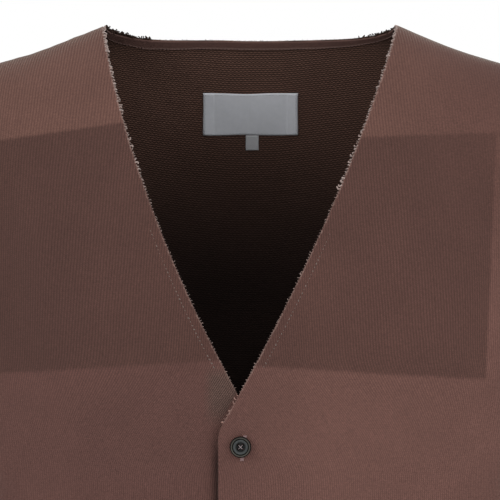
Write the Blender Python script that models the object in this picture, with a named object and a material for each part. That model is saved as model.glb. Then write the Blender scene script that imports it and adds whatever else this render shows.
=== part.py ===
"""A V-neck cardigan in its worn, hollow form. Metres, +Z up, the front faces -Y and +X is the
wearer's left. The origin is midway between the two high shoulder points.

One smooth form is worked out from rings of sizes: a torso tube under a sloped shoulder roof,
joined to two bent sleeve tubes, with soft folds. Each sewn piece is a grid on that form between
its seams, and gets its wall by moving the grid both ways along the form's normals."""

import math

import bmesh
import bpy
import numpy as np

# Cloth
WALL = 0.0018
SEAM_GAP = 0.0005
TAPE_WALL = 0.0010
LABEL_WALL = 0.0010
LAID_GAP = 0.0004

# Body, measured down from the high shoulder points
BODY_LENGTH = 0.690
NECK_HALF_WIDTH = 0.1085
SHOULDER_HALF_WIDTH = 0.2150
SHOULDER_SLOPE = 0.41
SHOULDER_LINE_Y = 0.010
SHOULDER_ROUND_FRONT = 0.052
SHOULDER_ROUND_BACK = 0.056
BACK_NECK_DROP = 0.0066
ARMHOLE_CENTRE_Z = -0.150
ARMHOLE_WAIST_X = 0.188
RING_POWER = 2.45

# V opening and overlap. Each edge runs as x = start - lean * depth - bend * depth**2.
V_ROW_Z = -0.262
LEFT_LEAN, LEFT_BEND = 0.315, 0.455
RIGHT_LEAN, RIGHT_BEND = 0.200, 0.660
OVER_EDGE_X = -0.0224
UNDER_EDGE_X = 0.0090
EDGE_ROUND = 0.0040
OVERLAP_LIFT = 0.0028

# Sleeve axis: shoulder, elbow and wrist of the wearer's left arm
ARM_SHOULDER = (0.186, 0.010, -0.121)
ARM_ELBOW = (0.333, 0.002, -0.368)
ARM_WRIST = (0.408, -0.038, -0.634)
ARM_RADII = (0.067, 0.051, 0.035)

# Buttons, the back neck tape and the label
BUTTON_COUNT = 5
BUTTON_X = -0.0066
BUTTON_TOP_Z = -0.3025
BUTTON_SPACING = 0.0815
BUTTON_RADIUS = 0.0075
BUTTON_HEIGHT = 0.0034
HOLE_RADIUS = 0.00075
HOLE_OFFSET = 0.00135
TAPE_HEIGHT = 0.0066
LABEL_X = (-0.0360, 0.0368)
LABEL_Z = (-0.0780, -0.0460)
TAB_X = (-0.0034, 0.0068)
TAB_Z = (-0.0894, -0.0784)

# Grid counts
ROWS_BELOW, ROWS_ARMHOLE = 17, 12
SHOULDER_COLUMNS, NECK_COLUMNS = 14, 16
SLEEVE_ROWS = 25

# Torso rings: height, half width, front y, back y
TORSO = (
    dict(z=-0.72, half=0.205, front=-0.113, back=0.106),
    dict(z=-0.60, half=0.206, front=-0.113, back=0.103),
    dict(z=-0.48, half=0.207, front=-0.115, back=0.101),
    dict(z=-0.36, half=0.208, front=-0.121, back=0.106),
    dict(z=-0.27, half=0.208, front=-0.124, back=0.112),
    dict(z=-0.20, half=0.213, front=-0.121, back=0.113),
    dict(z=-0.13, half=0.226, front=-0.110, back=0.107),
    dict(z=-0.07, half=0.232, front=-0.092, back=0.094),
    dict(z=-0.02, half=0.232, front=-0.068, back=0.077),
    dict(z=0.03, half=0.232, front=-0.040, back=0.056),
)

# Soft folds: two ends of a line in space, its width, its height (negative is a trough).
FOLDS = (
    # side folds from the underarm towards the buttons and the back waist
    dict(a=(0.190, -0.070, -0.290), b=(0.085, -0.118, -0.400), w=0.020, h=0.0050),
    dict(a=(0.205, -0.040, -0.330), b=(0.110, -0.112, -0.470), w=0.022, h=-0.0045),
    dict(a=(-0.195, -0.065, -0.285), b=(-0.100, -0.116, -0.380), w=0.019, h=0.0045),
    dict(a=(-0.206, -0.045, -0.345), b=(-0.095, -0.114, -0.500), w=0.023, h=-0.0050),
    dict(a=(0.190, 0.060, -0.280), b=(0.090, 0.104, -0.390), w=0.021, h=0.0052),
    dict(a=(0.200, 0.050, -0.340), b=(0.060, 0.104, -0.480), w=0.024, h=-0.0055),
    dict(a=(-0.188, 0.064, -0.290), b=(-0.080, 0.106, -0.370), w=0.020, h=0.0048),
    dict(a=(-0.202, 0.046, -0.350), b=(-0.050, 0.103, -0.510), w=0.026, h=-0.0055),
    # long soft waves that fall to the hem
    dict(a=(0.150, -0.092, -0.480), b=(0.140, -0.094, -0.720), w=0.026, h=0.0050),
    dict(a=(0.080, -0.110, -0.520), b=(0.086, -0.108, -0.720), w=0.022, h=-0.0040),
    dict(a=(-0.160, -0.088, -0.500), b=(-0.150, -0.090, -0.720), w=0.024, h=0.0045),
    dict(a=(-0.090, -0.110, -0.560), b=(-0.098, -0.106, -0.720), w=0.024, h=-0.0045),
    dict(a=(0.120, 0.090, -0.500), b=(0.132, 0.090, -0.720), w=0.028, h=0.0055),
    dict(a=(0.030, 0.103, -0.540), b=(0.036, 0.106, -0.720), w=0.026, h=-0.0050),
    dict(a=(-0.060, 0.102, -0.560), b=(-0.056, 0.105, -0.720), w=0.028, h=0.0050),
    dict(a=(-0.140, 0.084, -0.520), b=(-0.146, 0.084, -0.720), w=0.025, h=-0.0045),
    # across the upper back, between the shoulder blades
    dict(a=(0.150, 0.092, -0.150), b=(0.020, 0.113, -0.235), w=0.024, h=-0.0040),
    dict(a=(-0.155, 0.090, -0.160), b=(-0.020, 0.113, -0.265), w=0.024, h=-0.0040),
    # front of each armhole
    dict(a=(0.180, -0.072, -0.120), b=(0.165, -0.095, -0.235), w=0.018, h=-0.0035),
    dict(a=(-0.182, -0.070, -0.130), b=(-0.160, -0.098, -0.240), w=0.018, h=-0.0040),
    # sleeves: upper arm, inside of the elbow, forearm and above the cuff
    dict(a=(0.262, -0.046, -0.185), b=(0.232, -0.030, -0.250), w=0.015, h=-0.0045),
    dict(a=(-0.262, -0.046, -0.195), b=(-0.236, -0.028, -0.258), w=0.015, h=-0.0050),
    dict(a=(0.255, 0.058, -0.190), b=(0.245, 0.034, -0.270), w=0.016, h=-0.0045),
    dict(a=(-0.258, 0.058, -0.180), b=(-0.242, 0.036, -0.265), w=0.016, h=-0.0045),
    dict(a=(0.275, -0.024, -0.350), b=(0.345, -0.050, -0.385), w=0.014, h=-0.0055),
    dict(a=(0.280, -0.034, -0.385), b=(0.340, -0.052, -0.425), w=0.014, h=0.0045),
    dict(a=(0.290, -0.030, -0.415), b=(0.350, -0.058, -0.455), w=0.014, h=-0.0045),
    dict(a=(-0.272, -0.020, -0.345), b=(-0.340, -0.050, -0.370), w=0.014, h=-0.0050),
    dict(a=(-0.285, -0.034, -0.375), b=(-0.350, -0.050, -0.410), w=0.014, h=0.0050),
    dict(a=(-0.292, -0.034, -0.412), b=(-0.352, -0.060, -0.440), w=0.014, h=-0.0050),
    dict(a=(0.350, 0.046, -0.360), b=(0.375, 0.020, -0.420), w=0.016, h=0.0040),
    dict(a=(-0.350, 0.046, -0.350), b=(-0.378, 0.016, -0.425), w=0.016, h=0.0040),
    dict(a=(0.350, -0.050, -0.560), b=(0.425, -0.055, -0.585), w=0.012, h=0.0040),
    dict(a=(0.365, 0.010, -0.575), b=(0.430, 0.000, -0.560), w=0.012, h=0.0035),
    dict(a=(-0.355, -0.052, -0.570), b=(-0.425, -0.050, -0.560), w=0.012, h=0.0042),
    dict(a=(-0.370, 0.010, -0.545), b=(-0.430, -0.002, -0.575), w=0.012, h=0.0035),
)

# Parts: surface colour (linear), roughness
COLOURS = dict(
    knit=((0.103, 0.052, 0.042), 0.95),
    tape=((0.062, 0.032, 0.025), 0.9),
    label=((0.230, 0.235, 0.250), 0.8),
    tab=((0.100, 0.095, 0.097), 0.8),
    button=((0.016, 0.018, 0.014), 0.35),
)


def curve_through(heights, values, z):
    """A smooth curve through a short table whose heights rise."""
    heights, values = np.asarray(heights), np.asarray(values)
    slopes = np.gradient(values, heights)
    i = np.clip(np.searchsorted(heights, z) - 1, 0, len(heights) - 2)
    span = heights[i + 1] - heights[i]
    t = np.clip((z - heights[i]) / span, 0.0, 1.0)
    start = (1 + 2 * t) * (1 - t) ** 2 * values[i] + t * (1 - t) ** 2 * span * slopes[i]
    end = t * t * (3 - 2 * t) * values[i + 1] + t * t * (t - 1) * span * slopes[i + 1]
    return start + end


def soft_min(a, b, width):
    h = np.clip(0.5 + 0.5 * (b - a) / width, 0.0, 1.0)
    return b * (1 - h) + a * h - width * h * (1 - h)


def soft_max(a, b, width):
    return -soft_min(-a, -b, width)


def smooth_step(low, high, value):
    t = np.clip((value - low) / (high - low), 0.0, 1.0)
    return t * t * (3 - 2 * t)


def segment_distance(p, a, b):
    """How far p is from the line a-b, and how far along it."""
    a, b = np.asarray(a), np.asarray(b)
    along = np.clip((p - a) @ (b - a) / np.dot(b - a, b - a), 0.0, 1.0)
    return np.linalg.norm(p - a - along[..., None] * (b - a), axis=-1), along


TORSO_Z = [ring["z"] for ring in TORSO]


def torso_distance(p):
    x, y, z = p[..., 0], p[..., 1], p[..., 2]
    half = curve_through(TORSO_Z, [ring["half"] for ring in TORSO], z)
    front = curve_through(TORSO_Z, [ring["front"] for ring in TORSO], z)
    back = curve_through(TORSO_Z, [ring["back"] for ring in TORSO], z)
    middle, deep = (front + back) / 2, (back - front) / 2
    off = np.abs(y - middle)
    rho = (np.abs(x) / half) ** RING_POWER + (off / deep) ** RING_POWER
    rho = np.maximum(rho, 1e-9) ** (1 / RING_POWER)
    reach = np.sqrt(x * x + off * off)
    return reach - reach / rho


def ridge_height(x):
    """The shoulder line's height: level at the high shoulder point, then sloping down."""
    return -SHOULDER_SLOPE * (np.abs(x) - NECK_HALF_WIDTH)


def roof_distance(p):
    x, y, z = p[..., 0], p[..., 1], p[..., 2]
    off = y - SHOULDER_LINE_Y
    bend = np.where(off < 0, SHOULDER_ROUND_FRONT, SHOULDER_ROUND_BACK)
    steep = np.sqrt(1 + SHOULDER_SLOPE**2 + (off / bend) ** 2)
    return (z - ridge_height(x) + off * off / (2 * bend)) / steep


def arm_distance(p):
    q = p.copy()
    q[..., 0] = np.abs(q[..., 0])
    shoulder, elbow, wrist = map(np.array, (ARM_SHOULDER, ARM_ELBOW, ARM_WRIST))
    past = wrist + 0.35 * (wrist - elbow)
    upper, t = segment_distance(q, shoulder, elbow)
    upper = upper - (ARM_RADII[0] + t * (ARM_RADII[1] - ARM_RADII[0]))
    lower, t = segment_distance(q, elbow, past)
    lower = lower - (ARM_RADII[1] + t * 1.35 * (ARM_RADII[2] - ARM_RADII[1]))
    return soft_min(upper, lower, 0.010)


def body_form(p):
    return soft_max(torso_distance(p), roof_distance(p), 0.040)


def form(p):
    """Below zero inside the worn form, above zero outside it."""
    blend = 0.022 + 0.026 * smooth_step(-0.20, -0.08, p[..., 2])
    total = soft_min(body_form(p), arm_distance(p), blend)
    for fold in FOLDS:
        away, _ = segment_distance(p, fold["a"], fold["b"])
        total = total - fold["h"] * np.exp(-((away / fold["w"]) ** 2))
    return total


def normals(p, step=2e-4):
    parts = []
    for axis in np.eye(3) * step:
        parts.append(form(p + axis) - form(p - axis))
    g = np.stack(parts, axis=-1)
    return g / np.linalg.norm(g, axis=-1, keepdims=True)


def onto_form(p, rounds=4, step=2e-4):
    for _ in range(rounds):
        here = form(p)
        g = np.stack([form(p + axis) - here for axis in np.eye(3) * step], axis=-1) / step
        p = p - (here / np.maximum((g * g).sum(-1), 1e-6))[..., None] * g
    return p


def walk_out(path, count, field=form):
    """Follows path(r) from inside the field to the first point where it comes out."""
    r = np.zeros(count)
    for _ in range(45):
        r = np.clip(r - 0.7 * field(path(r)), 0.0, 0.7)
    for _ in range(5):
        here = field(path(r))
        slope = (field(path(r + 1e-4)) - here) / 1e-4
        r = r - here / np.where(np.abs(slope) < 0.05, 0.05, slope)
    return path(r)


def respaced(curve, shares):
    """The points of a dense curve at these shares of its length."""
    steps = np.linalg.norm(np.diff(curve, axis=0), axis=1)
    length = np.concatenate([[0.0], np.cumsum(steps)])
    wanted = np.asarray(shares) * length[-1]
    return np.stack([np.interp(wanted, length, curve[:, k]) for k in range(3)], axis=1)


def row_heights(top):
    t = np.linspace(0.0, 1.0, ROWS_BELOW + 1)
    return -BODY_LENGTH + (top + BODY_LENGTH) * t * (1.35 - 0.35 * t)


def opening_edge_x(z, side):
    """The free front edge: along the V, then down the button line. side +1 is the wearer's left."""
    deep = np.maximum(-z, 0.0)
    if side > 0:
        v = NECK_HALF_WIDTH - LEFT_LEAN * deep - LEFT_BEND * deep**2
        return soft_max(v, OVER_EDGE_X + 0 * z, EDGE_ROUND)
    v = -(NECK_HALF_WIDTH - RIGHT_LEAN * deep - RIGHT_BEND * deep**2)
    return soft_min(v, UNDER_EDGE_X + 0 * z, EDGE_ROUND)


def opening_edge(side):
    """The free front edge's points, from the hem up to the high shoulder point."""
    z = row_heights(V_ROW_Z)

    def level(r):
        return np.stack([opening_edge_x(z, side), 0.0 - r, z], axis=1)

    low = walk_out(level, len(z))
    t = np.linspace(0.0, 1.0, 200)
    angle = math.pi * (1.0 - 0.5 * t)
    start = V_ROW_Z + (-0.10 - V_ROW_Z) * t

    def fan(r):
        y = SHOULDER_LINE_Y + r * np.cos(angle)
        height = start + r * np.sin(angle)
        return np.stack([opening_edge_x(height, side), y, height], axis=1)

    high = walk_out(fan, len(t))
    high = respaced(high, np.linspace(0.0, 1.0, ROWS_ARMHOLE + 1))
    return np.concatenate([low[:-1], high])


def underarm_x():
    """Where the sleeve and the side meet highest, on the wearer's left."""
    x = np.linspace(0.195, 0.270, 151)

    def down(r):
        return np.stack([x, SHOULDER_LINE_Y + 0 * x, ARMHOLE_CENTRE_Z - r], axis=1)

    found = walk_out(down, len(x))
    return float(x[np.argmax(found[:, 2])])


def armhole(side, face, tip_x):
    """Half an armhole, from the underarm to the shoulder point. face -1 is the front half."""
    angle = np.linspace(-math.pi / 2, math.pi / 2, 240)
    up, down = np.maximum(np.sin(angle), 0) ** 2, np.maximum(-np.sin(angle), 0) ** 3
    x = ARMHOLE_WAIST_X + (SHOULDER_HALF_WIDTH - ARMHOLE_WAIST_X) * up
    x = side * (x + (tip_x - ARMHOLE_WAIST_X) * down)

    def fan(r):
        y = SHOULDER_LINE_Y + face * r * np.cos(angle)
        return np.stack([x, y, ARMHOLE_CENTRE_Z + r * np.sin(angle)], axis=1)

    return respaced(walk_out(fan, len(angle)), np.linspace(0.0, 1.0, ROWS_ARMHOLE + 1))


def side_seam(side, top):
    z = row_heights(top[2])[:-1]

    def out(r):
        return np.stack([side * r, SHOULDER_LINE_Y + 0 * z, z], axis=1)

    return np.concatenate([walk_out(out, len(z)), top[None]])


def shoulder_seam(side):
    x = side * np.linspace(NECK_HALF_WIDTH, SHOULDER_HALF_WIDTH, 80)

    def up(r):
        return np.stack([x, SHOULDER_LINE_Y + 0 * x, -0.15 + r], axis=1)

    seam = walk_out(up, len(x))
    return respaced(seam, np.linspace(0.0, 1.0, SHOULDER_COLUMNS + 1))


def back_neck():
    """The back neck edge, from the wearer's right high shoulder point to the left one."""
    angle = np.linspace(math.pi, 0.0, 240)

    def fan(r):
        x = r * np.cos(angle)
        y = SHOULDER_LINE_Y + r * np.sin(angle)
        rise = np.minimum(np.abs(x) / NECK_HALF_WIDTH, 1.0) ** 6
        return np.stack([x, y, -BACK_NECK_DROP * (1.0 - rise)], axis=1)

    edge = walk_out(fan, len(angle))
    return respaced(edge, np.linspace(0.0, 1.0, NECK_COLUMNS + 1))


def hem(start, end, face, columns):
    """The hem from one point round to another, level with both. face -1 is the front."""
    middle = np.array([0.0, 0.0, -BODY_LENGTH])
    first, last = math.atan2(start[1], start[0]), math.atan2(end[1], end[0])
    if face < 0:
        first, last = (a - 2 * math.pi if a > math.pi / 2 else a for a in (first, last))
    angle = np.linspace(first, last, 240)

    def out(r):
        ray = np.stack([np.cos(angle), np.sin(angle), 0 * angle], axis=1)
        return middle + r[:, None] * ray

    return respaced(walk_out(out, len(angle)), np.linspace(0.0, 1.0, columns + 1))


def turned_rays(first, last, count):
    """Directions that turn evenly from one ray to another."""
    first, last = first / np.linalg.norm(first), last / np.linalg.norm(last)
    angle = math.acos(np.clip(first @ last, -1.0, 1.0))
    t = np.linspace(0.0, 1.0, count)[:, None]
    return (np.sin((1 - t) * angle) * first + np.sin(t * angle) * last) / math.sin(angle)


def smoothed(grid, rounds):
    """The grid's inner points drawn towards their neighbours' middle, kept on the form."""
    for _ in range(rounds):
        inner = grid[:-2, 1:-1] + grid[2:, 1:-1] + grid[1:-1, :-2] + grid[1:-1, 2:]
        grid[1:-1, 1:-1] = onto_form(0.5 * grid[1:-1, 1:-1] + inner / 8, 1)
    return grid


def patch(bottom, top, left, right, middle=None):
    """A grid on the form between four seams: rows go up, columns go from left to right. Each
    row's rays turn from its left end to its right end, by way of the middle where one is given."""
    last = len(left) - 1
    steps = np.linalg.norm(np.diff(top, axis=0), axis=1)
    top_shares = np.concatenate([[0.0], np.cumsum(steps)]) / steps.sum()
    even = np.linspace(0.0, 1.0, len(top))
    grid = np.empty((last + 1, len(top), 3))
    grid[0], grid[-1] = bottom, top
    for i in range(1, last):
        rise = max(0.0, (i - ROWS_BELOW) / ROWS_ARMHOLE)
        stops = [left[i], right[i]] if middle is None else [left[i], middle[i], right[i]]
        level = (left[i][2] + right[i][2]) / 2
        drawn = 0.0 if middle is not None else rise**2 * (left[i][0] + right[i][0]) / 2
        centre = np.array([drawn, SHOULDER_LINE_Y, level - 0.11 * rise**2])
        rays = [turned_rays(a - centre, b - centre, 90) for a, b in zip(stops, stops[1:])]
        rays = np.concatenate([rays[0]] + [r[1:] for r in rays[1:]])
        field = body_form if i <= ROWS_BELOW else form
        row = walk_out(lambda r: centre + r[:, None] * rays, len(rays), field)
        row[0], row[-1] = left[i], right[i]
        share = i / last
        grid[i] = respaced(row, even + (top_shares - even) * share**2)
    grid[1:-1, 1:-1] = onto_form(grid[1:-1, 1:-1], 2)
    return smoothed(grid, 6)


def sleeve_grid(side, front_half, back_half):
    """A sleeve's grid: rows go from the armhole to the cuff, columns go round from underneath."""
    flip = np.array([side, 1.0, 1.0])
    loop = np.concatenate([front_half, back_half[-2:0:-1]]) * flip
    count = len(loop)
    shoulder, elbow, wrist = map(np.array, (ARM_SHOULDER, ARM_ELBOW, ARM_WRIST))
    head = np.array([0.205, SHOULDER_LINE_Y, -0.155])
    guide = np.array([head, shoulder + 0.42 * (elbow - shoulder), elbow, wrist])
    dense = np.linspace(0.0, 1.0, 60)[:, None]
    bent = [(1 - dense) * guide[k] + dense * guide[k + 1] for k in range(3)]
    lines = 60
    axis = respaced(np.concatenate(bent), np.linspace(0.0, 1.0, lines + 1))
    for _ in range(60):
        axis[1:-1] = (axis[:-2] + 2 * axis[1:-1] + axis[2:]) / 4
    down = (wrist - elbow) / np.linalg.norm(wrist - elbow)
    inward = np.array([-1.0, 0.0, 0.0]) + down * down[0]
    inward = inward / np.linalg.norm(inward)
    forward = np.cross(down, inward)
    forward = forward * -np.sign(forward[1])
    angle = 2 * math.pi * np.arange(count) / count
    at_cuff = np.cos(angle)[:, None] * inward + np.sin(angle)[:, None] * forward
    at_head = loop - head
    at_head = at_head / np.linalg.norm(at_head, axis=1, keepdims=True)
    rows = [loop]
    for k, centre in enumerate(axis[1:], 1):
        turn = smooth_step(0.0, 0.40, k / lines)
        ray = (1 - turn) * at_head + turn * at_cuff
        ray = ray / np.linalg.norm(ray, axis=1, keepdims=True)
        rows.append(walk_out(lambda r: (centre + r[:, None] * ray) * flip, count) * flip)
    rows = np.array(rows)
    shares = np.linspace(0.0, 1.0, SLEEVE_ROWS + 1)
    grid = np.stack([respaced(rows[:, j], shares) for j in range(count)], axis=1) * flip
    for _ in range(8):
        around = np.roll(grid, 1, axis=1) + np.roll(grid, -1, axis=1)
        inner = grid[:-2] + grid[2:] + around[1:-1]
        grid[1:-1] = onto_form(0.5 * grid[1:-1] + inner / 8, 1)
    return grid


def drawn_in(edge, inner, by):
    """An edge moved square to itself, towards the next line of its grid."""
    along = np.gradient(edge, axis=0)
    along = along / np.linalg.norm(along, axis=-1, keepdims=True)
    step = inner - edge
    step = step - (step * along).sum(-1, keepdims=True) * along
    return edge + by * step / np.linalg.norm(step, axis=-1, keepdims=True)


def moved_edges(grid, rows=(), columns=(), by=SEAM_GAP / 2):
    """The grid with these edges drawn in by half a seam gap."""
    moved = grid.copy()
    for edge in rows:
        inner = grid[1] if edge == 0 else grid[-2]
        moved[edge] += drawn_in(grid[edge], inner, by) - grid[edge]
    for edge in columns:
        inner = grid[:, 1] if edge == 0 else grid[:, -2]
        moved[:, edge] += drawn_in(grid[:, edge], inner, by) - grid[:, edge]
    return moved


def material(name, kind):
    colour, rough = COLOURS[kind]
    made = bpy.data.materials.new(name)
    made.use_nodes = True
    shader = made.node_tree.nodes["Principled BSDF"]
    shader.inputs["Base Color"].default_value = (*colour, 1.0)
    shader.inputs["Roughness"].default_value = rough
    return made


def add_object(name, points, faces, kind):
    points = np.asarray(points)
    held = 0.0
    for face in faces:
        for b, c in zip(face[1:], face[2:]):
            held += float(np.dot(points[face[0]], np.cross(points[b], points[c])))
    if held < 0:
        faces = [tuple(reversed(face)) for face in faces]
    mesh = bpy.data.meshes.new(name)
    mesh.from_pydata([tuple(p) for p in points], [], [tuple(f) for f in faces])
    mesh.materials.append(material(name, kind))
    made = bpy.data.objects.new(name, mesh)
    bpy.context.scene.collection.objects.link(made)
    return made


def walled(name, outer, inner, kind, round_closed=False):
    """A closed solid between two matching grids."""
    rows, columns = outer.shape[:2]
    points = np.concatenate([outer.reshape(-1, 3), inner.reshape(-1, 3)])
    half = rows * columns
    across = columns if round_closed else columns - 1
    faces = []
    for i in range(rows - 1):
        for j in range(across):
            k = (j + 1) % columns
            a, b = i * columns + j, i * columns + k
            c, d = b + columns, a + columns
            for corner in ((a, b, c), (a, c, d)):
                faces.append(corner)
                faces.append(tuple(half + q for q in reversed(corner)))

    def end_face(a, b):
        """The wall's end along an edge, split the same way whichever piece it is seen from."""
        if points[a][2] <= points[b][2]:
            faces.extend([(a, b, half + b), (a, half + b, half + a)])
        else:
            faces.extend([(a, b, half + a), (b, half + b, half + a)])

    for i in (0, rows - 1):
        for j in range(across):
            a, b = i * columns + j, i * columns + (j + 1) % columns
            end_face(*((b, a) if i == 0 else (a, b)))
    if not round_closed:
        for i in range(rows - 1):
            for j in (0, columns - 1):
                a, b = i * columns + j, (i + 1) * columns + j
                end_face(*((a, b) if j == 0 else (b, a)))
    return add_object(name, points, faces, kind)


def panel(name, grid, aim, lift=0.0):
    """A cloth wall about the grid, moved out along its own normals by lift."""
    lift = np.asarray(lift)[..., None] if np.ndim(lift) else lift
    outer = grid + aim * (lift + WALL / 2)
    inner = grid + aim * (lift - WALL / 2)
    return outer, inner


def face_y(grid, x, z):
    """The y of a faceted grid at these x and z, by the triangle that holds each."""
    a, b = grid[:-1, :-1].reshape(-1, 3), grid[:-1, 1:].reshape(-1, 3)
    c, d = grid[1:, 1:].reshape(-1, 3), grid[1:, :-1].reshape(-1, 3)
    sets = [(a, b, c), (a, c, d)]
    found = np.full(len(x), np.inf)
    for p, q, r in sets:
        base = (q[:, 0] - p[:, 0]) * (r[:, 2] - p[:, 2]) - (r[:, 0] - p[:, 0]) * (q[:, 2] - p[:, 2])
        dx, dz = x[:, None] - p[:, 0], z[:, None] - p[:, 2]
        u = (dx * (r[:, 2] - p[:, 2]) - dz * (r[:, 0] - p[:, 0])) / base
        v = (dz * (q[:, 0] - p[:, 0]) - dx * (q[:, 2] - p[:, 2])) / base
        y = p[:, 1] + u * (q[:, 1] - p[:, 1]) + v * (r[:, 1] - p[:, 1])
        held = (u >= -1e-6) & (v >= -1e-6) & (u + v <= 1 + 1e-6) & (y > 0)
        found = np.minimum(found, np.where(held, y, np.inf).min(axis=1))
    return found


def laid_patch(name, inside, x_range, z_range, counts, wall, kind):
    """A thin flat trim laid on the hollow side of a faceted wall."""
    xs, zs = np.linspace(*x_range, counts[0]), np.linspace(*z_range, counts[1])
    x, z = np.meshgrid(xs, zs)
    y = face_y(inside, x.ravel(), z.ravel()).reshape(x.shape)
    on = np.stack([x, y, z], axis=-1)
    across, up = on[:, -1:] - on[:, :1], on[-1:] - on[:1]
    aim = np.cross(across, up)
    aim = aim / np.linalg.norm(aim, axis=-1, keepdims=True)
    aim = aim * -np.sign(aim[..., 1:2])
    return walled(name, on + aim * (LAID_GAP + wall), on + aim * LAID_GAP, kind)


def button_mesh():
    """A four-hole button with a raised rim and a dished middle, its back on z = 0."""
    r, h = BUTTON_RADIUS, BUTTON_HEIGHT
    profile = (
        dict(r=0.86 * r, z=0.0),
        dict(r=0.97 * r, z=0.18 * h),
        dict(r=1.00 * r, z=0.45 * h),
        dict(r=0.97 * r, z=0.80 * h),
        dict(r=0.89 * r, z=0.99 * h),
        dict(r=0.80 * r, z=0.97 * h),
        dict(r=0.70 * r, z=0.76 * h),
        dict(r=0.45 * r, z=0.62 * h),
    )
    sides = 28
    work = bmesh.new()
    rings = []
    for row in profile:
        ring = []
        for k in range(sides):
            a = 2 * math.pi * k / sides
            ring.append(work.verts.new((row["r"] * math.cos(a), row["r"] * math.sin(a), row["z"])))
        rings.append(ring)
    for low, high in zip(rings, rings[1:]):
        for k in range(sides):
            n = (k + 1) % sides
            work.faces.new((low[k], low[n], high[n], high[k]))
    work.faces.new(list(reversed(rings[0])))
    work.faces.new(rings[-1])
    bmesh.ops.recalc_face_normals(work, faces=work.faces)
    body = bpy.data.meshes.new("button_body")
    work.to_mesh(body)
    work.free()
    drill = bmesh.new()
    for sx in (-1, 1):
        for sy in (-1, 1):
            made = bmesh.ops.create_cone(drill, cap_ends=True, segments=10, radius1=HOLE_RADIUS,
                                         radius2=HOLE_RADIUS, depth=0.02)
            bmesh.ops.translate(drill, verts=made["verts"],
                                vec=(sx * HOLE_OFFSET, sy * HOLE_OFFSET, 0.0))
    bmesh.ops.recalc_face_normals(drill, faces=drill.faces)
    holes = bpy.data.meshes.new("button_holes")
    drill.to_mesh(holes)
    drill.free()
    blank = bpy.data.objects.new("button_blank", body)
    cutter = bpy.data.objects.new("button_cutter", holes)
    for made in (blank, cutter):
        bpy.context.scene.collection.objects.link(made)
    cut = blank.modifiers.new("holes", "BOOLEAN")
    cut.operation, cut.solver, cut.object = "DIFFERENCE", "EXACT", cutter
    bpy.context.view_layer.update()
    graph = bpy.context.evaluated_depsgraph_get()
    mesh = bpy.data.meshes.new_from_object(blank.evaluated_get(graph))
    for made in (blank, cutter):
        bpy.data.objects.remove(made)
    points = np.array([v.co[:] for v in mesh.vertices])
    return points, [tuple(f.vertices) for f in mesh.polygons]


for old in list(bpy.data.objects):
    bpy.data.objects.remove(old)

# Seams, worked out once on the wearer's left; the right is drawn on its own, for its own folds.
tip_x = underarm_x()
seams = {}
for side in (-1, 1):
    front_half, back_half = armhole(side, -1, tip_x), armhole(side, 1, tip_x)
    back_half[0], back_half[-1] = front_half[0], front_half[-1]
    lower = side_seam(side, front_half[0])
    shoulder = shoulder_seam(side)
    shoulder[-1] = front_half[-1]
    seams[side] = dict(
        front=np.concatenate([lower[:-1], front_half]),
        back=np.concatenate([lower[:-1], back_half]),
        front_half=front_half,
        back_half=back_half,
        shoulder=shoulder,
    )

# Fronts: the wearer's left laps over the right
fronts = {}
for side, name in ((1, "front_left"), (-1, "front_right")):
    edge = opening_edge(side)
    outer_edge = seams[side]["front"]
    seam = seams[side]["shoulder"].copy()
    edge[-1] = seam[0]
    bottom = hem(edge[0], outer_edge[0], -1, SHOULDER_COLUMNS)
    bottom[0], bottom[-1] = edge[0], outer_edge[0]
    grid = patch(bottom, seam, edge, outer_edge)
    aim = normals(grid)
    lift = 0.0
    if side > 0:
        near = 1.0 - smooth_step(0.012, 0.050, grid[..., 0])
        low = 1.0 - smooth_step(-0.250, -0.190, grid[..., 2])
        lift = OVERLAP_LIFT * near * low
    grid = moved_edges(grid, rows=(-1,), columns=(-1,))
    outer, inner = panel(name, grid, aim, lift)
    walled(name, outer, inner, "knit")
    fronts[side] = (outer, inner)

# Back
neck = back_neck()
neck[0], neck[-1] = seams[-1]["shoulder"][0], seams[1]["shoulder"][0]
top = np.concatenate([seams[-1]["shoulder"][::-1], neck[1:-1], seams[1]["shoulder"]])
bottom = hem(seams[-1]["back"][0], seams[1]["back"][0], 1, len(top) - 1)
bottom[0], bottom[-1] = seams[-1]["back"][0], seams[1]["back"][0]
spine_z = np.concatenate([
    seams[1]["back"][:ROWS_BELOW, 2],
    np.linspace(seams[1]["back"][ROWS_BELOW, 2], -BACK_NECK_DROP, ROWS_ARMHOLE + 1),
])
spine = walk_out(lambda r: np.stack([0 * r, 0.0 + r, spine_z], axis=1), len(spine_z))
grid = patch(bottom, top, seams[-1]["back"], seams[1]["back"], spine)
fall = grid[-2] - grid[-1]
fall = fall / np.linalg.norm(fall, axis=-1, keepdims=True)
tape_row = grid[-1] + fall * TAPE_HEIGHT
tape_row[1:-1] = onto_form(tape_row[1:-1])
grid = np.concatenate([grid[:-1], tape_row[None], grid[-1:]])
aim = normals(grid)
drawn = moved_edges(grid, rows=(-1,), columns=(0, -1))
outer, inner = panel("back", drawn, aim)
walled("back", outer, inner, "knit")
back_inside, back_aim = inner, aim

# Sleeves
for side, name in ((1, "sleeve_left"), (-1, "sleeve_right")):
    grid = sleeve_grid(side, seams[side]["front_half"], seams[side]["back_half"])
    aim = normals(grid)
    grid = moved_edges(grid, rows=(0,))
    outer, inner = panel(name, grid, aim)
    walled(name, outer, inner, "knit", round_closed=True)

# Back neck tape, between the back's own last two rows
first, last = SHOULDER_COLUMNS, SHOULDER_COLUMNS + NECK_COLUMNS
rows, inward = back_inside[-2:, first:last + 1], -back_aim[-2:, first:last + 1]
rows = moved_edges(rows, rows=(-1,), columns=(0, -1), by=0.0002)
tape = (rows + inward * (LAID_GAP + TAPE_WALL), rows + inward * LAID_GAP)

walled("neck_tape", *tape, "tape")

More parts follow.
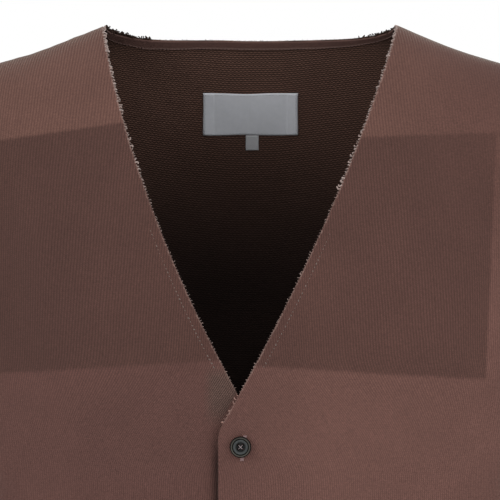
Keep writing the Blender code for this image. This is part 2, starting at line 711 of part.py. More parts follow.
# Label and its tab
laid_patch("label", back_inside, LABEL_X, LABEL_Z, (13, 7), LABEL_WALL, "label")
laid_patch("label_tab", back_inside, TAB_X, TAB_Z, (4, 4), LABEL_WALL, "tab")

# Buttons, each level with the over front where it sits
points, faces = button_mesh()
over = fronts[1][0]
for k in range(BUTTON_COUNT):
    z = BUTTON_TOP_Z - k * BUTTON_SPACING
    place = walk_out(lambda r: np.stack([BUTTON_X + 0 * r, 0.0 - r, z + 0 * r], axis=1), 1)
    out = normals(place)[0]
    seat = place[0] + out * (OVERLAP_LIFT + WALL / 2 + LAID_GAP)
    across = np.cross(np.array([0.0, 0.0, 1.0]), out)
    across = across / np.linalg.norm(across)
    up = np.cross(out, across)
    turned = points @ np.array([across, up, out]) + seat
    add_object(f"button_{k + 1}", turned, faces, "button")

print("underarm at x", round(tip_x, 4), "z", round(float(seams[1]["front_half"][0][2]), 4))
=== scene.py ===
# %% [markdown]
# # A V-neck cardigan, worn
# This script dresses the imported CAD frame of a cardigan. The frame holds the true sizes: every
# piece made here lies on the same form, so it can stand in for a CAD node. First the frame is
# loaded.

# %% Load the frame
import math

import bmesh
import bpy
import numpy as np
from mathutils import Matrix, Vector


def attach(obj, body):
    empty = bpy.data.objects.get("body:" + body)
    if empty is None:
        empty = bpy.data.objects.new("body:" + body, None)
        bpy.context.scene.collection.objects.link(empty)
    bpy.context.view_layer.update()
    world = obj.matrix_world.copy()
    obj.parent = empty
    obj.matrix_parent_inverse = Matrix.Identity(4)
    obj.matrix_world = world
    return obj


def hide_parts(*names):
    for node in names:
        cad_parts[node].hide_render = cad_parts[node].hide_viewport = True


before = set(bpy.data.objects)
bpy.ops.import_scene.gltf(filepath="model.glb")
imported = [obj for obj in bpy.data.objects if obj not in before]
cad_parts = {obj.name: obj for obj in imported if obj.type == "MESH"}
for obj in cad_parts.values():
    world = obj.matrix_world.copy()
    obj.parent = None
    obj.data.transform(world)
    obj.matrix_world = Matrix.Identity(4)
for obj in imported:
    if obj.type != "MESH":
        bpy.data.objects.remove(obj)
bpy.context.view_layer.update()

# %% [markdown]
# ## The view and the light
# The photograph looks level at the neck and the upper front from a few metres away, so a long
# lens stands in front of the first button line. The cloth is lit evenly from all round, as in a
# white studio, which also makes the hollow darker the deeper one looks into it. Two soft lamps
# in front give the knit a little relief, and one behind shapes the folds of the back.

# %% Camera
# the photograph is FRAME_WIDTH wide at the front of the chest, which lies at FRONT_Y
FRONT_Y = -0.12
FRAME_WIDTH = 0.350
CAMERA_DISTANCE = 2.2
CAMERA_Z = -0.1653
SENSOR_WIDTH = 36.0
FARTHEST_SEEN = 50.0


def linked(name, data):
    """A new object at the origin with this mesh, camera or lamp."""
    made = bpy.data.objects.new(name, data)
    bpy.context.scene.collection.objects.link(made)
    return made


camera = linked("camera", bpy.data.cameras.new("camera"))
camera.data.sensor_width = SENSOR_WIDTH
camera.data.lens = SENSOR_WIDTH * CAMERA_DISTANCE / FRAME_WIDTH
camera.location = (0.0, FRONT_Y - CAMERA_DISTANCE, CAMERA_Z)
camera.rotation_euler = (math.radians(90), 0.0, 0.0)
camera.data.clip_end = FARTHEST_SEEN
bpy.context.scene.camera = camera
bpy.context.scene.view_settings.view_transform = "Standard"
bpy.context.scene.view_settings.look = "None"
print("lens", round(camera.data.lens, 1), "mm")

# %% Soft lamps in a white world
# name, place, what it is turned towards, size, watts
LAMPS = (
    ("lamp_left", (-2.2, -1.6, 0.9), (0, 0, -0.3), 1.6, 44),
    ("lamp_right", (2.2, -1.6, 0.9), (0, 0, -0.3), 1.6, 34),
    ("lamp_back", (2.0, 1.7, 0.35), (0, 0, -0.35), 1.0, 26),
)

for name, place, aim, size, watts in LAMPS:
    lamp = linked(name, bpy.data.lights.new(name, "AREA"))
    lamp.data.size = size
    lamp.data.energy = watts
    lamp.location = place
    lamp.rotation_euler = (Vector(aim) - Vector(place)).to_track_quat("-Z", "Y").to_euler()

world = bpy.data.worlds.new("studio")
world.use_nodes = True
sky = world.node_tree.nodes["Background"]
sky.inputs["Color"].default_value = (1.0, 1.0, 1.0, 1.0)
sky.inputs["Strength"].default_value = 1.0
bpy.context.scene.world = world
print(len(LAMPS), "soft lamps")

# %% Floor
FLOOR_Z, FLOOR_REACH = -0.72, 5.0
FLOOR_GREY, FLOOR_ROUGHNESS = 0.86, 0.9

floor_mesh = bpy.data.meshes.new("floor")
corners = [(sx * FLOOR_REACH, sy * FLOOR_REACH, FLOOR_Z)
           for sx, sy in ((-1, -1), (1, -1), (1, 1), (-1, 1))]
floor_mesh.from_pydata(corners, [], [(0, 1, 2, 3)])
floor = linked("floor", floor_mesh)
floor_paint = bpy.data.materials.new("floor_paint")
floor_paint.use_nodes = True
floor_shader = floor_paint.node_tree.nodes["Principled BSDF"]
floor_shader.inputs["Base Color"].default_value = (FLOOR_GREY, FLOOR_GREY, FLOOR_GREY, 1.0)
floor_shader.inputs["Roughness"].default_value = FLOOR_ROUGHNESS
floor_mesh.materials.append(floor_paint)
print("floor at", FLOOR_Z)

# %% [markdown]
# ## The worn form
# Knitted cloth that is worn takes the shape of what is inside it. That shape is written as one
# smooth rule: torso rings under a sloped shoulder roof, joined to two bent arms, with long soft
# folds. A point is on the cloth where the rule gives zero. The sizes are the CAD solids' own, so
# the cloth made here lies exactly where they do. A simulation would only lose them.

# %% Sizes of the body
# metres; x is the wearer's left, y points back, and z = 0 is the high shoulder point
WALL = 0.0018
BODY_LENGTH = 0.690
NECK_HALF_WIDTH = 0.1085
SHOULDER_HALF_WIDTH = 0.2150
SHOULDER_SLOPE = 0.41
SHOULDER_LINE_Y = 0.010
SHOULDER_ROUND_FRONT, SHOULDER_ROUND_BACK = 0.052, 0.056
BACK_NECK_DROP = 0.0066
ARMHOLE_CENTRE_Z, ARMHOLE_WAIST_X = -0.150, 0.188
# 2 would make the torso's rings ovals, and more makes them fuller at their corners
RING_POWER = 2.45
print("body", BODY_LENGTH, "long, neck", 2 * NECK_HALF_WIDTH, "wide")

# %% Sizes of the opening and the arms
# each side of the V falls by a lean and a bend of its own, from the neck to the row V_ROW_Z
V_ROW_Z = -0.262
LEFT_LEAN, LEFT_BEND = 0.315, 0.455
RIGHT_LEAN, RIGHT_BEND = 0.200, 0.660
OVER_EDGE_X, UNDER_EDGE_X, EDGE_ROUND = -0.0224, 0.0090, 0.0040
OVERLAP_LIFT = 0.0028
ARM_SHOULDER = (0.186, 0.010, -0.121)
ARM_ELBOW = (0.333, 0.002, -0.368)
ARM_WRIST = (0.408, -0.038, -0.634)
ARM_RADII = (0.067, 0.051, 0.035)
print("the fronts overlap by", round(UNDER_EDGE_X - OVER_EDGE_X, 4))

# %% Torso rings
# height, half width, front y, back y
TORSO = np.array([
    (-0.72, 0.205, -0.113, 0.106),
    (-0.60, 0.206, -0.113, 0.103),
    (-0.48, 0.207, -0.115, 0.101),
    (-0.36, 0.208, -0.121, 0.106),
    (-0.27, 0.208, -0.124, 0.112),
    (-0.20, 0.213, -0.121, 0.113),
    (-0.13, 0.226, -0.110, 0.107),
    (-0.07, 0.232, -0.092, 0.094),
    (-0.02, 0.232, -0.068, 0.077),
    (0.03, 0.232, -0.040, 0.056),
])
print(len(TORSO), "rings")

# %% Long folds
# in millimetres: x, y and z of one end and of the other, width, height (a trough is negative)
FOLDS = np.array([
    (190, -70, -290, 85, -118, -400, 20, 5), (205, -40, -330, 110, -112, -470, 22, -4.5),
    (-195, -65, -285, -100, -116, -380, 19, 4.5), (-206, -45, -345, -95, -114, -500, 23, -5),
    (190, 60, -280, 90, 104, -390, 21, 5.2), (200, 50, -340, 60, 104, -480, 24, -5.5),
    (-188, 64, -290, -80, 106, -370, 20, 4.8), (-202, 46, -350, -50, 103, -510, 26, -5.5),
    (150, -92, -480, 140, -94, -720, 26, 5), (80, -110, -520, 86, -108, -720, 22, -4),
    (-160, -88, -500, -150, -90, -720, 24, 4.5), (-90, -110, -560, -98, -106, -720, 24, -4.5),
    (120, 90, -500, 132, 90, -720, 28, 5.5), (30, 103, -540, 36, 106, -720, 26, -5),
    (-60, 102, -560, -56, 105, -720, 28, 5), (-140, 84, -520, -146, 84, -720, 25, -4.5),
    (150, 92, -150, 20, 113, -235, 24, -4), (-155, 90, -160, -20, 113, -265, 24, -4),
    (180, -72, -120, 165, -95, -235, 18, -3.5), (-182, -70, -130, -160, -98, -240, 18, -4),
    (262, -46, -185, 232, -30, -250, 15, -4.5), (-262, -46, -195, -236, -28, -258, 15, -5),
    (255, 58, -190, 245, 34, -270, 16, -4.5), (-258, 58, -180, -242, 36, -265, 16, -4.5),
    (275, -24, -350, 345, -50, -385, 14, -5.5), (280, -34, -385, 340, -52, -425, 14, 4.5),
    (290, -30, -415, 350, -58, -455, 14, -4.5), (-272, -20, -345, -340, -50, -370, 14, -5),
    (-285, -34, -375, -350, -50, -410, 14, 5), (-292, -34, -412, -352, -60, -440, 14, -5),
    (350, 46, -360, 375, 20, -420, 16, 4), (-350, 46, -350, -378, 16, -425, 16, 4),
    (350, -50, -560, 425, -55, -585, 12, 4), (365, 10, -575, 430, 0, -560, 12, 3.5),
    (-355, -52, -570, -425, -50, -560, 12, 4.2), (-370, 10, -545, -430, -2, -575, 12, 3.5),
]) / 1000
print(len(FOLDS), "folds")


# %% Smooth curves and blends
def curve_through(heights, values, z):
    """A smooth curve through a short table whose heights rise."""
    slopes = np.gradient(values, heights)
    i = np.clip(np.searchsorted(heights, z) - 1, 0, len(heights) - 2)
    span = heights[i + 1] - heights[i]
    t = np.clip((z - heights[i]) / span, 0.0, 1.0)
    start = (1 + 2 * t) * (1 - t) ** 2 * values[i] + t * (1 - t) ** 2 * span * slopes[i]
    end = t * t * (3 - 2 * t) * values[i + 1] + t * t * (t - 1) * span * slopes[i + 1]
    return start + end


def soft_min(a, b, width):
    """The lesser of two values, blended where they are closer than width."""
    h = np.clip(0.5 + 0.5 * (b - a) / width, 0.0, 1.0)
    return b * (1 - h) + a * h - width * h * (1 - h)


def soft_max(a, b, width):
    return -soft_min(-a, -b, width)


def smooth_step(low, high, value):
    """A soft step from 0 at low to 1 at high."""
    t = np.clip((value - low) / (high - low), 0.0, 1.0)
    return t * t * (3 - 2 * t)


print("half way up a soft step:", smooth_step(0.0, 1.0, 0.5))


# %% Points, directions and distances
def points_at(x, y, z):
    """Points from lists of x, y and z, or from one value for all."""
    return np.stack(np.broadcast_arrays(x, y, z), axis=-1)


def steps(curve):
    """The distances between a curve's points."""
    return np.linalg.norm(np.diff(curve, axis=0), axis=1)


def unit(v):
    return v / np.maximum(np.linalg.norm(v, axis=-1, keepdims=True), 1e-12)


def segment_distance(p, a, b):
    """How far p is from the line a-b, and how far along it."""
    a, b = np.asarray(a), np.asarray(b)
    along = np.clip((p - a) @ (b - a) / np.dot(b - a, b - a), 0.0, 1.0)
    return np.linalg.norm(p - a - along[..., None] * (b - a), axis=-1), along


print("one step of", steps(np.eye(3)).round(3)[0])


# %% Torso and shoulder roof
def torso_distance(p):
    """About how far p is outside the torso's rings."""
    x, y, z = p[..., 0], p[..., 1], p[..., 2]
    half, front, back = (curve_through(TORSO[:, 0], TORSO[:, k], z) for k in (1, 2, 3))
    middle, deep = (front + back) / 2, (back - front) / 2
    off = np.abs(y - middle)
    rho = (np.abs(x) / half) ** RING_POWER + (off / deep) ** RING_POWER
    rho = np.maximum(rho, 1e-9) ** (1 / RING_POWER)
    reach = np.sqrt(x * x + off * off)
    return reach - reach / rho


def roof_distance(p):
    """About how far p is above the sloping shoulders."""
    x, y, z = p[..., 0], p[..., 1], p[..., 2]
    ridge = -SHOULDER_SLOPE * (np.abs(x) - NECK_HALF_WIDTH)
    off = y - SHOULDER_LINE_Y
    bend = np.where(off < 0, SHOULDER_ROUND_FRONT, SHOULDER_ROUND_BACK)
    steep = np.sqrt(1 + SHOULDER_SLOPE**2 + (off / bend) ** 2)
    return (z - ridge + off * off / (2 * bend)) / steep


SHOULDER_BLEND = 0.040


def body_form(p):
    return soft_max(torso_distance(p), roof_distance(p), SHOULDER_BLEND)


CHEST = np.array([[0.0, 0.0, -0.3]])
print("the chest's middle:", body_form(CHEST).round(3)[0])

# %% Arms
# the forearm's line runs on past the cuff by a share of its length
PAST_CUFF = 0.35
ELBOW_BLEND = 0.010


def arm_distance(p):
    """How far p is outside the two arms."""
    q = p.copy()
    q[..., 0] = np.abs(q[..., 0])
    shoulder, elbow, wrist = map(np.array, (ARM_SHOULDER, ARM_ELBOW, ARM_WRIST))
    past = wrist + PAST_CUFF * (wrist - elbow)
    upper, t = segment_distance(q, shoulder, elbow)
    upper = upper - (ARM_RADII[0] + t * (ARM_RADII[1] - ARM_RADII[0]))
    lower, t = segment_distance(q, elbow, past)
    lower = lower - (ARM_RADII[1] + t * (1 + PAST_CUFF) * (ARM_RADII[2] - ARM_RADII[1]))
    return soft_min(upper, lower, ELBOW_BLEND)


print("elbow:", arm_distance(np.array([ARM_ELBOW])).round(3)[0])

# %% The whole form
# how softly the arm joins the body: at the underarm, and how much more at the shoulder
UNDERARM_BLEND, SHOULDER_MORE = 0.022, 0.026
BLEND_HEIGHTS = (-0.20, -0.08)


def with_ridges(total, p, table):
    """The total with the height of every ridge in the table added."""
    for row in table:
        away, _ = segment_distance(p, row[:3], row[3:6])
        total = total + row[7] * np.exp(-((away / row[6]) ** 2))
    return total


def form(p):
    """Below zero inside the worn form, above zero outside it."""
    blend = UNDERARM_BLEND + SHOULDER_MORE * smooth_step(*BLEND_HEIGHTS, p[..., 2])
    return -with_ridges(-soft_min(body_form(p), arm_distance(p), blend), p, FOLDS)


print("with folds:", form(CHEST).round(3)[0])

# %% Moving points onto the form
PROBE = 2e-4
PROBES = np.eye(3) * PROBE


def normals(p):
    """The way out of the form at each point."""
    return unit(np.stack([form(p + probe) - form(p - probe) for probe in PROBES], axis=-1))


def onto_form(p, rounds=4):
    """The points p, moved onto the form along its slope."""
    for _ in range(rounds):
        here = form(p)
        g = np.stack([form(p + probe) - here for probe in PROBES], axis=-1) / PROBE
        p = p - (here / np.maximum((g * g).sum(-1), 1e-6))[..., None] * g
    return p


on_front = onto_form(np.array([[0.05, -0.10, -0.30]]))
print("a point on the front:", on_front[0].round(4))

# %% Walking out to the form
# a careful walk that keeps to a share of the distance left, then a few exact steps
WALK_STEPS, WALK_SHARE, WALK_REACH = 45, 0.7, 0.7
EXACT_STEPS, EXACT_PROBE, LEAST_SLOPE = 5, 1e-4, 0.05


def walk_out(path, count, field=form):
    """Follows path(r) from inside the field to the first point where it comes out."""
    r = np.zeros(count)
    for _ in range(WALK_STEPS):
        r = np.clip(r - WALK_SHARE * field(path(r)), 0.0, WALK_REACH)
    for _ in range(EXACT_STEPS):
        here = field(path(r))
        slope = (field(path(r + EXACT_PROBE)) - here) / EXACT_PROBE
        r = r - here / np.where(np.abs(slope) < LEAST_SLOPE, LEAST_SLOPE, slope)
    return path(r)


def respaced(curve, shares):
    """The points of a dense curve at these shares of its length."""
    length = np.insert(np.cumsum(steps(curve)), 0, 0.0)
    wanted = np.asarray(shares) * length[-1]
    return np.stack([np.interp(wanted, length, curve[:, k]) for k in range(3)], axis=1)


def evenly(curve, count):
    """count points at even steps along a curve."""
    return respaced(curve, np.linspace(0.0, 1.0, count))


print("the back at z -0.3:", walk_out(lambda r: points_at(0.0, r, -0.3), 1).round(4)[0])

# %% [markdown]
# ## Where the pieces are cut
# A cardigan is sewn from two fronts, a back and two sleeves. Each seam is a line on the form:
# the free front edges, the side seams, the armholes, the shoulder seams and the back neck. They
# are found by walking out from inside the form, because a walk always ends on the cloth.

# %% Rows and columns of the coarse grids
# rows from the hem to the underarm, and from there to the shoulder
ROWS_BELOW, ROWS_ARMHOLE = 17, 12
SHOULDER_COLUMNS, NECK_COLUMNS = 14, 16
SLEEVE_ROWS = 25
# rows close up towards the underarm by this much
ROWS_CLOSE = 0.35


def row_heights(top):
    """The heights of the rows from the hem up to top."""
    t = np.linspace(0.0, 1.0, ROWS_BELOW + 1)
    return -BODY_LENGTH + (top + BODY_LENGTH) * t * (1 + ROWS_CLOSE - ROWS_CLOSE * t)


print("lowest rows", row_heights(V_ROW_Z)[:3].round(3))

# %% Free front edges
# the ray that follows the V's edge turns upright while its start rises to this height
V_RAYS, V_RAYS_TOP_Z = 200, -0.10


def opening_edge_x(z, side):
    """The free front edge: along the V, then down the button line. side +1 is the wearer's left."""
    deep = np.maximum(-z, 0.0)
    if side > 0:
        v = NECK_HALF_WIDTH - LEFT_LEAN * deep - LEFT_BEND * deep**2
        return soft_max(v, OVER_EDGE_X, EDGE_ROUND)
    v = -(NECK_HALF_WIDTH - RIGHT_LEAN * deep - RIGHT_BEND * deep**2)
    return soft_min(v, UNDER_EDGE_X, EDGE_ROUND)


def opening_edge(side):
    """The free front edge's points, from the hem up to the high shoulder point."""
    z = row_heights(V_ROW_Z)
    low = walk_out(lambda r: points_at(opening_edge_x(z, side), -r, z), len(z))
    t = np.linspace(0.0, 1.0, V_RAYS)
    angle = math.pi * (1.0 - 0.5 * t)
    start = V_ROW_Z + (V_RAYS_TOP_Z - V_ROW_Z) * t

    def fan(r):
        y = SHOULDER_LINE_Y + r * np.cos(angle)
        height = start + r * np.sin(angle)
        return points_at(opening_edge_x(height, side), y, height)

    high = evenly(walk_out(fan, len(t)), ROWS_ARMHOLE + 1)
    return np.concatenate([low[:-1], high])


print("front edge helper ready")


# %% Side seams
def side_seam(side, top):
    """The side seam, from the hem up to the underarm point top."""
    z = row_heights(top[2])[:-1]
    line = walk_out(lambda r: points_at(side * r, SHOULDER_LINE_Y, z), len(z))
    return np.concatenate([line, top[None]])


print("side seam helper ready")

# %% Armholes
# rays round half an armhole; where the underarm may be, from the middle
SEAM_RAYS = 240
UNDERARM_RANGE = np.linspace(0.195, 0.270, 151)


def underarm_x():
    """Where the sleeve and the side meet highest, on the wearer's left."""
    x = UNDERARM_RANGE
    found = walk_out(lambda r: points_at(x, SHOULDER_LINE_Y, ARMHOLE_CENTRE_Z - r), len(x))
    return float(x[np.argmax(found[:, 2])])


def armhole(side, face, tip_x):
    """Half an armhole, from the underarm to the shoulder point. face -1 is the front half."""
    angle = np.linspace(-math.pi / 2, math.pi / 2, SEAM_RAYS)
    up, down = np.maximum(np.sin(angle), 0) ** 2, np.maximum(-np.sin(angle), 0) ** 3
    x = ARMHOLE_WAIST_X + (SHOULDER_HALF_WIDTH - ARMHOLE_WAIST_X) * up
    x = side * (x + (tip_x - ARMHOLE_WAIST_X) * down)

    def fan(r):
        y = SHOULDER_LINE_Y + face * r * np.cos(angle)
        return points_at(x, y, ARMHOLE_CENTRE_Z + r * np.sin(angle))

    return evenly(walk_out(fan, len(angle)), ROWS_ARMHOLE + 1)


tip_x = underarm_x()
print("the underarm is", round(tip_x, 4), "from the middle")

# %% Shoulder seams and back neck
SHOULDER_POINTS = 80
# how sharply the back neck rises at its two ends
NECK_RISE = 6


def shoulder_seam(side):
    """The shoulder seam, from the neck to the armhole."""
    x = side * np.linspace(NECK_HALF_WIDTH, SHOULDER_HALF_WIDTH, SHOULDER_POINTS)
    seam = walk_out(lambda r: points_at(x, SHOULDER_LINE_Y, -0.15 + r), len(x))
    return evenly(seam, SHOULDER_COLUMNS + 1)


def back_neck():
    """The back neck edge, from the wearer's right high shoulder point to the left one."""
    angle = np.linspace(math.pi, 0.0, SEAM_RAYS)

    def fan(r):
        x, y = r * np.cos(angle), SHOULDER_LINE_Y + r * np.sin(angle)
        rise = np.minimum(np.abs(x) / NECK_HALF_WIDTH, 1.0) ** NECK_RISE
        return points_at(x, y, -BACK_NECK_DROP * (1.0 - rise))

    return evenly(walk_out(fan, len(angle)), NECK_COLUMNS + 1)


neck = back_neck()
print("back neck to y", neck[:, 1].max().round(4))


# %% Hem
def hem(start, end, face, columns):
    """The hem from one point round to another, level with both. face -1 is the front."""
    middle = np.array([0.0, 0.0, -BODY_LENGTH])
    first, last = math.atan2(start[1], start[0]), math.atan2(end[1], end[0])
    if face < 0:
        first, last = (a - 2 * math.pi if a > math.pi / 2 else a for a in (first, last))
    angle = np.linspace(first, last, SEAM_RAYS)
    ray = points_at(np.cos(angle), np.sin(angle), 0.0)
    line = walk_out(lambda r: middle + r[:, None] * ray, len(angle))
    return evenly(line, columns + 1)


print("a quarter of the hem:", steps(hem((1, 0), (0, 1), 1, 9)).sum().round(3))

# %% [markdown]
# ## Cloth between the seams
# A panel is a grid whose rows run level, like the courses of the knit, and whose columns rise like
# its wales. Each row is found by rays that turn from one seam to the other, and the inner points
# are then evened out. A shrinkwrapped plane is quicker to make, but it doesn't end on the seams.


# %% Rays that turn
def turned_rays(first, last, count):
    """Directions that turn evenly from one ray to another."""
    first, last = unit(first), unit(last)
    angle = math.acos(np.clip(first @ last, -1.0, 1.0))
    t = np.linspace(0.0, 1.0, count)[:, None]
    return (np.sin((1 - t) * angle) * first + np.sin(t * angle) * last) / math.sin(angle)


print("half way from x to y:", turned_rays(*np.eye(3)[:2], 3)[1].round(3))

# %% A panel's grid
PANEL_RAYS, PANEL_ROUNDS = 90, 6
# how far the rays' start sinks below a row that is near the shoulder
START_SINKS = 0.11


def patch(bottom, top, left, right, middle=None):
    """A grid on the form between four seams: rows go up, columns go from left to right."""
    last = len(left) - 1
    top_shares = np.insert(np.cumsum(steps(top)), 0, 0.0) / steps(top).sum()
    even = np.linspace(0.0, 1.0, len(top))
    grid = np.empty((last + 1, len(top), 3))
    grid[0], grid[-1] = bottom, top
    for i in range(1, last):
        rise = max(0.0, (i - ROWS_BELOW) / ROWS_ARMHOLE)
        stops = [left[i], right[i]] if middle is None else [left[i], middle[i], right[i]]
        drawn = 0.0 if middle is not None else rise**2 * (left[i][0] + right[i][0]) / 2
        level = (left[i][2] + right[i][2]) / 2
        centre = np.array([drawn, SHOULDER_LINE_Y, level - START_SINKS * rise**2])
        rays = [turned_rays(a - centre, b - centre, PANEL_RAYS) for a, b in zip(stops, stops[1:])]
        rays = np.concatenate([rays[0]] + [r[1:] for r in rays[1:]])
        field = body_form if i <= ROWS_BELOW else form
        row = walk_out(lambda r: centre + r[:, None] * rays, len(rays), field)
        row[0], row[-1] = left[i], right[i]
        grid[i] = respaced(row, even + (top_shares - even) * (i / last) ** 2)
    grid[1:-1, 1:-1] = onto_form(grid[1:-1, 1:-1], 2)
    for _ in range(PANEL_ROUNDS):
        inner = grid[:-2, 1:-1] + grid[2:, 1:-1] + grid[1:-1, :-2] + grid[1:-1, 2:]
        grid[1:-1, 1:-1] = onto_form(0.5 * grid[1:-1, 1:-1] + inner / 8, 1)
    return grid


print("a panel has", ROWS_BELOW + ROWS_ARMHOLE, "rows of cells")

# %% The line inside a sleeve
SLEEVE_HEAD = np.array([0.205, SHOULDER_LINE_Y, -0.155])
SLEEVE_RINGS, LINE_ROUNDS = 60, 60
# where the line meets the upper arm, as a share of the way from shoulder to elbow
JOINS_ARM = 0.42


def sleeve_line():
    """A smooth line from the sleeve's head through the elbow to the wrist."""
    shoulder, elbow, wrist = map(np.array, (ARM_SHOULDER, ARM_ELBOW, ARM_WRIST))
    guide = np.array([SLEEVE_HEAD, shoulder + JOINS_ARM * (elbow - shoulder), elbow, wrist])
    dense = np.linspace(0.0, 1.0, SLEEVE_RINGS)[:, None]
    bent = [(1 - dense) * guide[k] + dense * guide[k + 1] for k in range(3)]
    line = evenly(np.concatenate(bent), SLEEVE_RINGS + 1)
    for _ in range(LINE_ROUNDS):
        line[1:-1] = (line[:-2] + 2 * line[1:-1] + line[2:]) / 4
    return line


print("a sleeve's line is", steps(sleeve_line()).sum().round(3), "long")

# %% A sleeve's grid
SLEEVE_ROUNDS = 8
# by this share of the sleeve its rings have turned from the armhole's slant to the cuff's
TURNED_BY = 0.40


def sleeve_grid(side, front_half, back_half):
    """A sleeve's grid: rows go from the armhole to the cuff, columns go round from underneath."""
    flip = np.array([side, 1.0, 1.0])
    loop = np.concatenate([front_half, back_half[-2:0:-1]]) * flip
    count = len(loop)
    down = unit(np.subtract(ARM_WRIST, ARM_ELBOW))
    inward = unit(np.array([-1.0, 0.0, 0.0]) + down * down[0])
    forward = np.cross(down, inward)
    forward = forward * -np.sign(forward[1])
    angle = 2 * math.pi * np.arange(count) / count
    at_cuff = np.cos(angle)[:, None] * inward + np.sin(angle)[:, None] * forward
    at_head = unit(loop - SLEEVE_HEAD)
    rows = [loop]
    for k, centre in enumerate(sleeve_line()[1:], 1):
        turn = smooth_step(0.0, TURNED_BY, k / SLEEVE_RINGS)
        ray = unit((1 - turn) * at_head + turn * at_cuff)
        rows.append(walk_out(lambda r: (centre + r[:, None] * ray) * flip, count) * flip)
    rows = np.array(rows)
    grid = np.stack([evenly(rows[:, j], SLEEVE_ROWS + 1) for j in range(count)], axis=1) * flip
    for _ in range(SLEEVE_ROUNDS):
        around = np.roll(grid, 1, axis=1) + np.roll(grid, -1, axis=1)
        grid[1:-1] = onto_form(0.5 * grid[1:-1] + (grid[:-2] + grid[2:] + around[1:-1]) / 8, 1)
    return grid


print("a sleeve has", SLEEVE_ROWS, "rows of cells")

# %% Seams and coarse grids of the fronts and sleeves
seams, coarse = {}, {}
for side in (-1, 1):
    front_half, back_half = armhole(side, -1, tip_x), armhole(side, 1, tip_x)
    back_half[0], back_half[-1] = front_half[0], front_half[-1]
    lower = side_seam(side, front_half[0])
    shoulder = shoulder_seam(side)
    shoulder[-1] = front_half[-1]
    seams[side] = dict(front=np.concatenate([lower[:-1], front_half]),
                       back=np.concatenate([lower[:-1], back_half]), shoulder=shoulder)
    edge = opening_edge(side)
    edge[-1] = shoulder[0]
    bottom = hem(edge[0], lower[0], -1, SHOULDER_COLUMNS)
    bottom[0], bottom[-1] = edge[0], lower[0]
    coarse["front", side] = patch(bottom, shoulder.copy(), edge, seams[side]["front"])
    coarse["sleeve", side] = sleeve_grid(side, front_half, back_half)
print("coarse", *coarse)

# %% Coarse grid of the back
neck[0], neck[-1] = seams[-1]["shoulder"][0], seams[1]["shoulder"][0]
top = np.concatenate([seams[-1]["shoulder"][::-1], neck[1:-1], seams[1]["shoulder"]])
bottom = hem(seams[-1]["back"][0], seams[1]["back"][0], 1, len(top) - 1)
bottom[0], bottom[-1] = seams[-1]["back"][0], seams[1]["back"][0]
spine_z = np.concatenate([
    seams[1]["back"][:ROWS_BELOW, 2],
    np.linspace(seams[1]["back"][ROWS_BELOW, 2], -BACK_NECK_DROP, ROWS_ARMHOLE + 1),
])
spine = walk_out(lambda r: points_at(0.0, r, spine_z), len(spine_z))
coarse["back", 0] = patch(bottom, top, seams[-1]["back"], seams[1]["back"], spine)
for key, grid in coarse.items():
    print(key, grid.shape, "z", grid[..., 2].min().round(3), grid[..., 2].max().round(3))

# %% [markdown]
# ## Finer cloth
# The coarse grids carry the large folds. Real jersey also has small creases: drag lines at the
# underarm, soft breaks at the elbow, a furrow along each seam, and a turned hem that stands a
# little proud. The grids are made finer with smooth lines through their points, set back on the
# form, and the creases are laid on from a table. A Subdivision Surface modifier smooths
# as well, but it would draw the edges in, away from the seams.


# %% Smooth lines through the coarse grid
def line_weights(count, places, closed=False):
    """Weights that read a smooth line through count points at these places along it."""
    weights = np.zeros((len(places), count))
    for k, place in enumerate(places):
        i = int(place) if closed else min(int(place), count - 2)
        t = place - i
        four = ((-t + 2 * t**2 - t**3) / 2, (2 - 5 * t**2 + 3 * t**3) / 2,
                (t + 4 * t**2 - 3 * t**3) / 2, (-(t**2) + t**3) / 2)
        for j, share in zip(range(i - 1, i + 3), four):
            if closed:
                weights[k, j % count] += share
            elif 0 <= j < count:
                weights[k, j] += share
            else:
                end, inner = (0, 1) if j < 0 else (count - 1, count - 2)
                weights[k, end] += 2 * share
                weights[k, inner] -= share
    return weights


def places_along(last, parts, extra=()):
    """Even places from 0 to last, with a few more near an edge."""
    even = np.linspace(0.0, last, last * parts + 1)
    return np.unique(np.round(np.concatenate([even, np.asarray(extra, float)]), 5))


def finer(grid, row_places, column_places, closed=False):
    """The grid read at more places along its rows and columns, and set back on the form."""
    by_rows = np.tensordot(line_weights(len(grid), row_places), grid, axes=(1, 0))
    columns = line_weights(grid.shape[1], column_places, closed)
    return onto_form(np.einsum("bj,ajk->abk", columns, by_rows), 2)


def run_length(grid, axis):
    """How far each point is along its own grid line."""
    gaps = np.linalg.norm(np.diff(grid, axis=axis), axis=-1)
    return np.insert(np.cumsum(gaps, axis=axis), 0, 0.0, axis=axis)


print("weights", line_weights(4, [1.5]).round(4)[0])
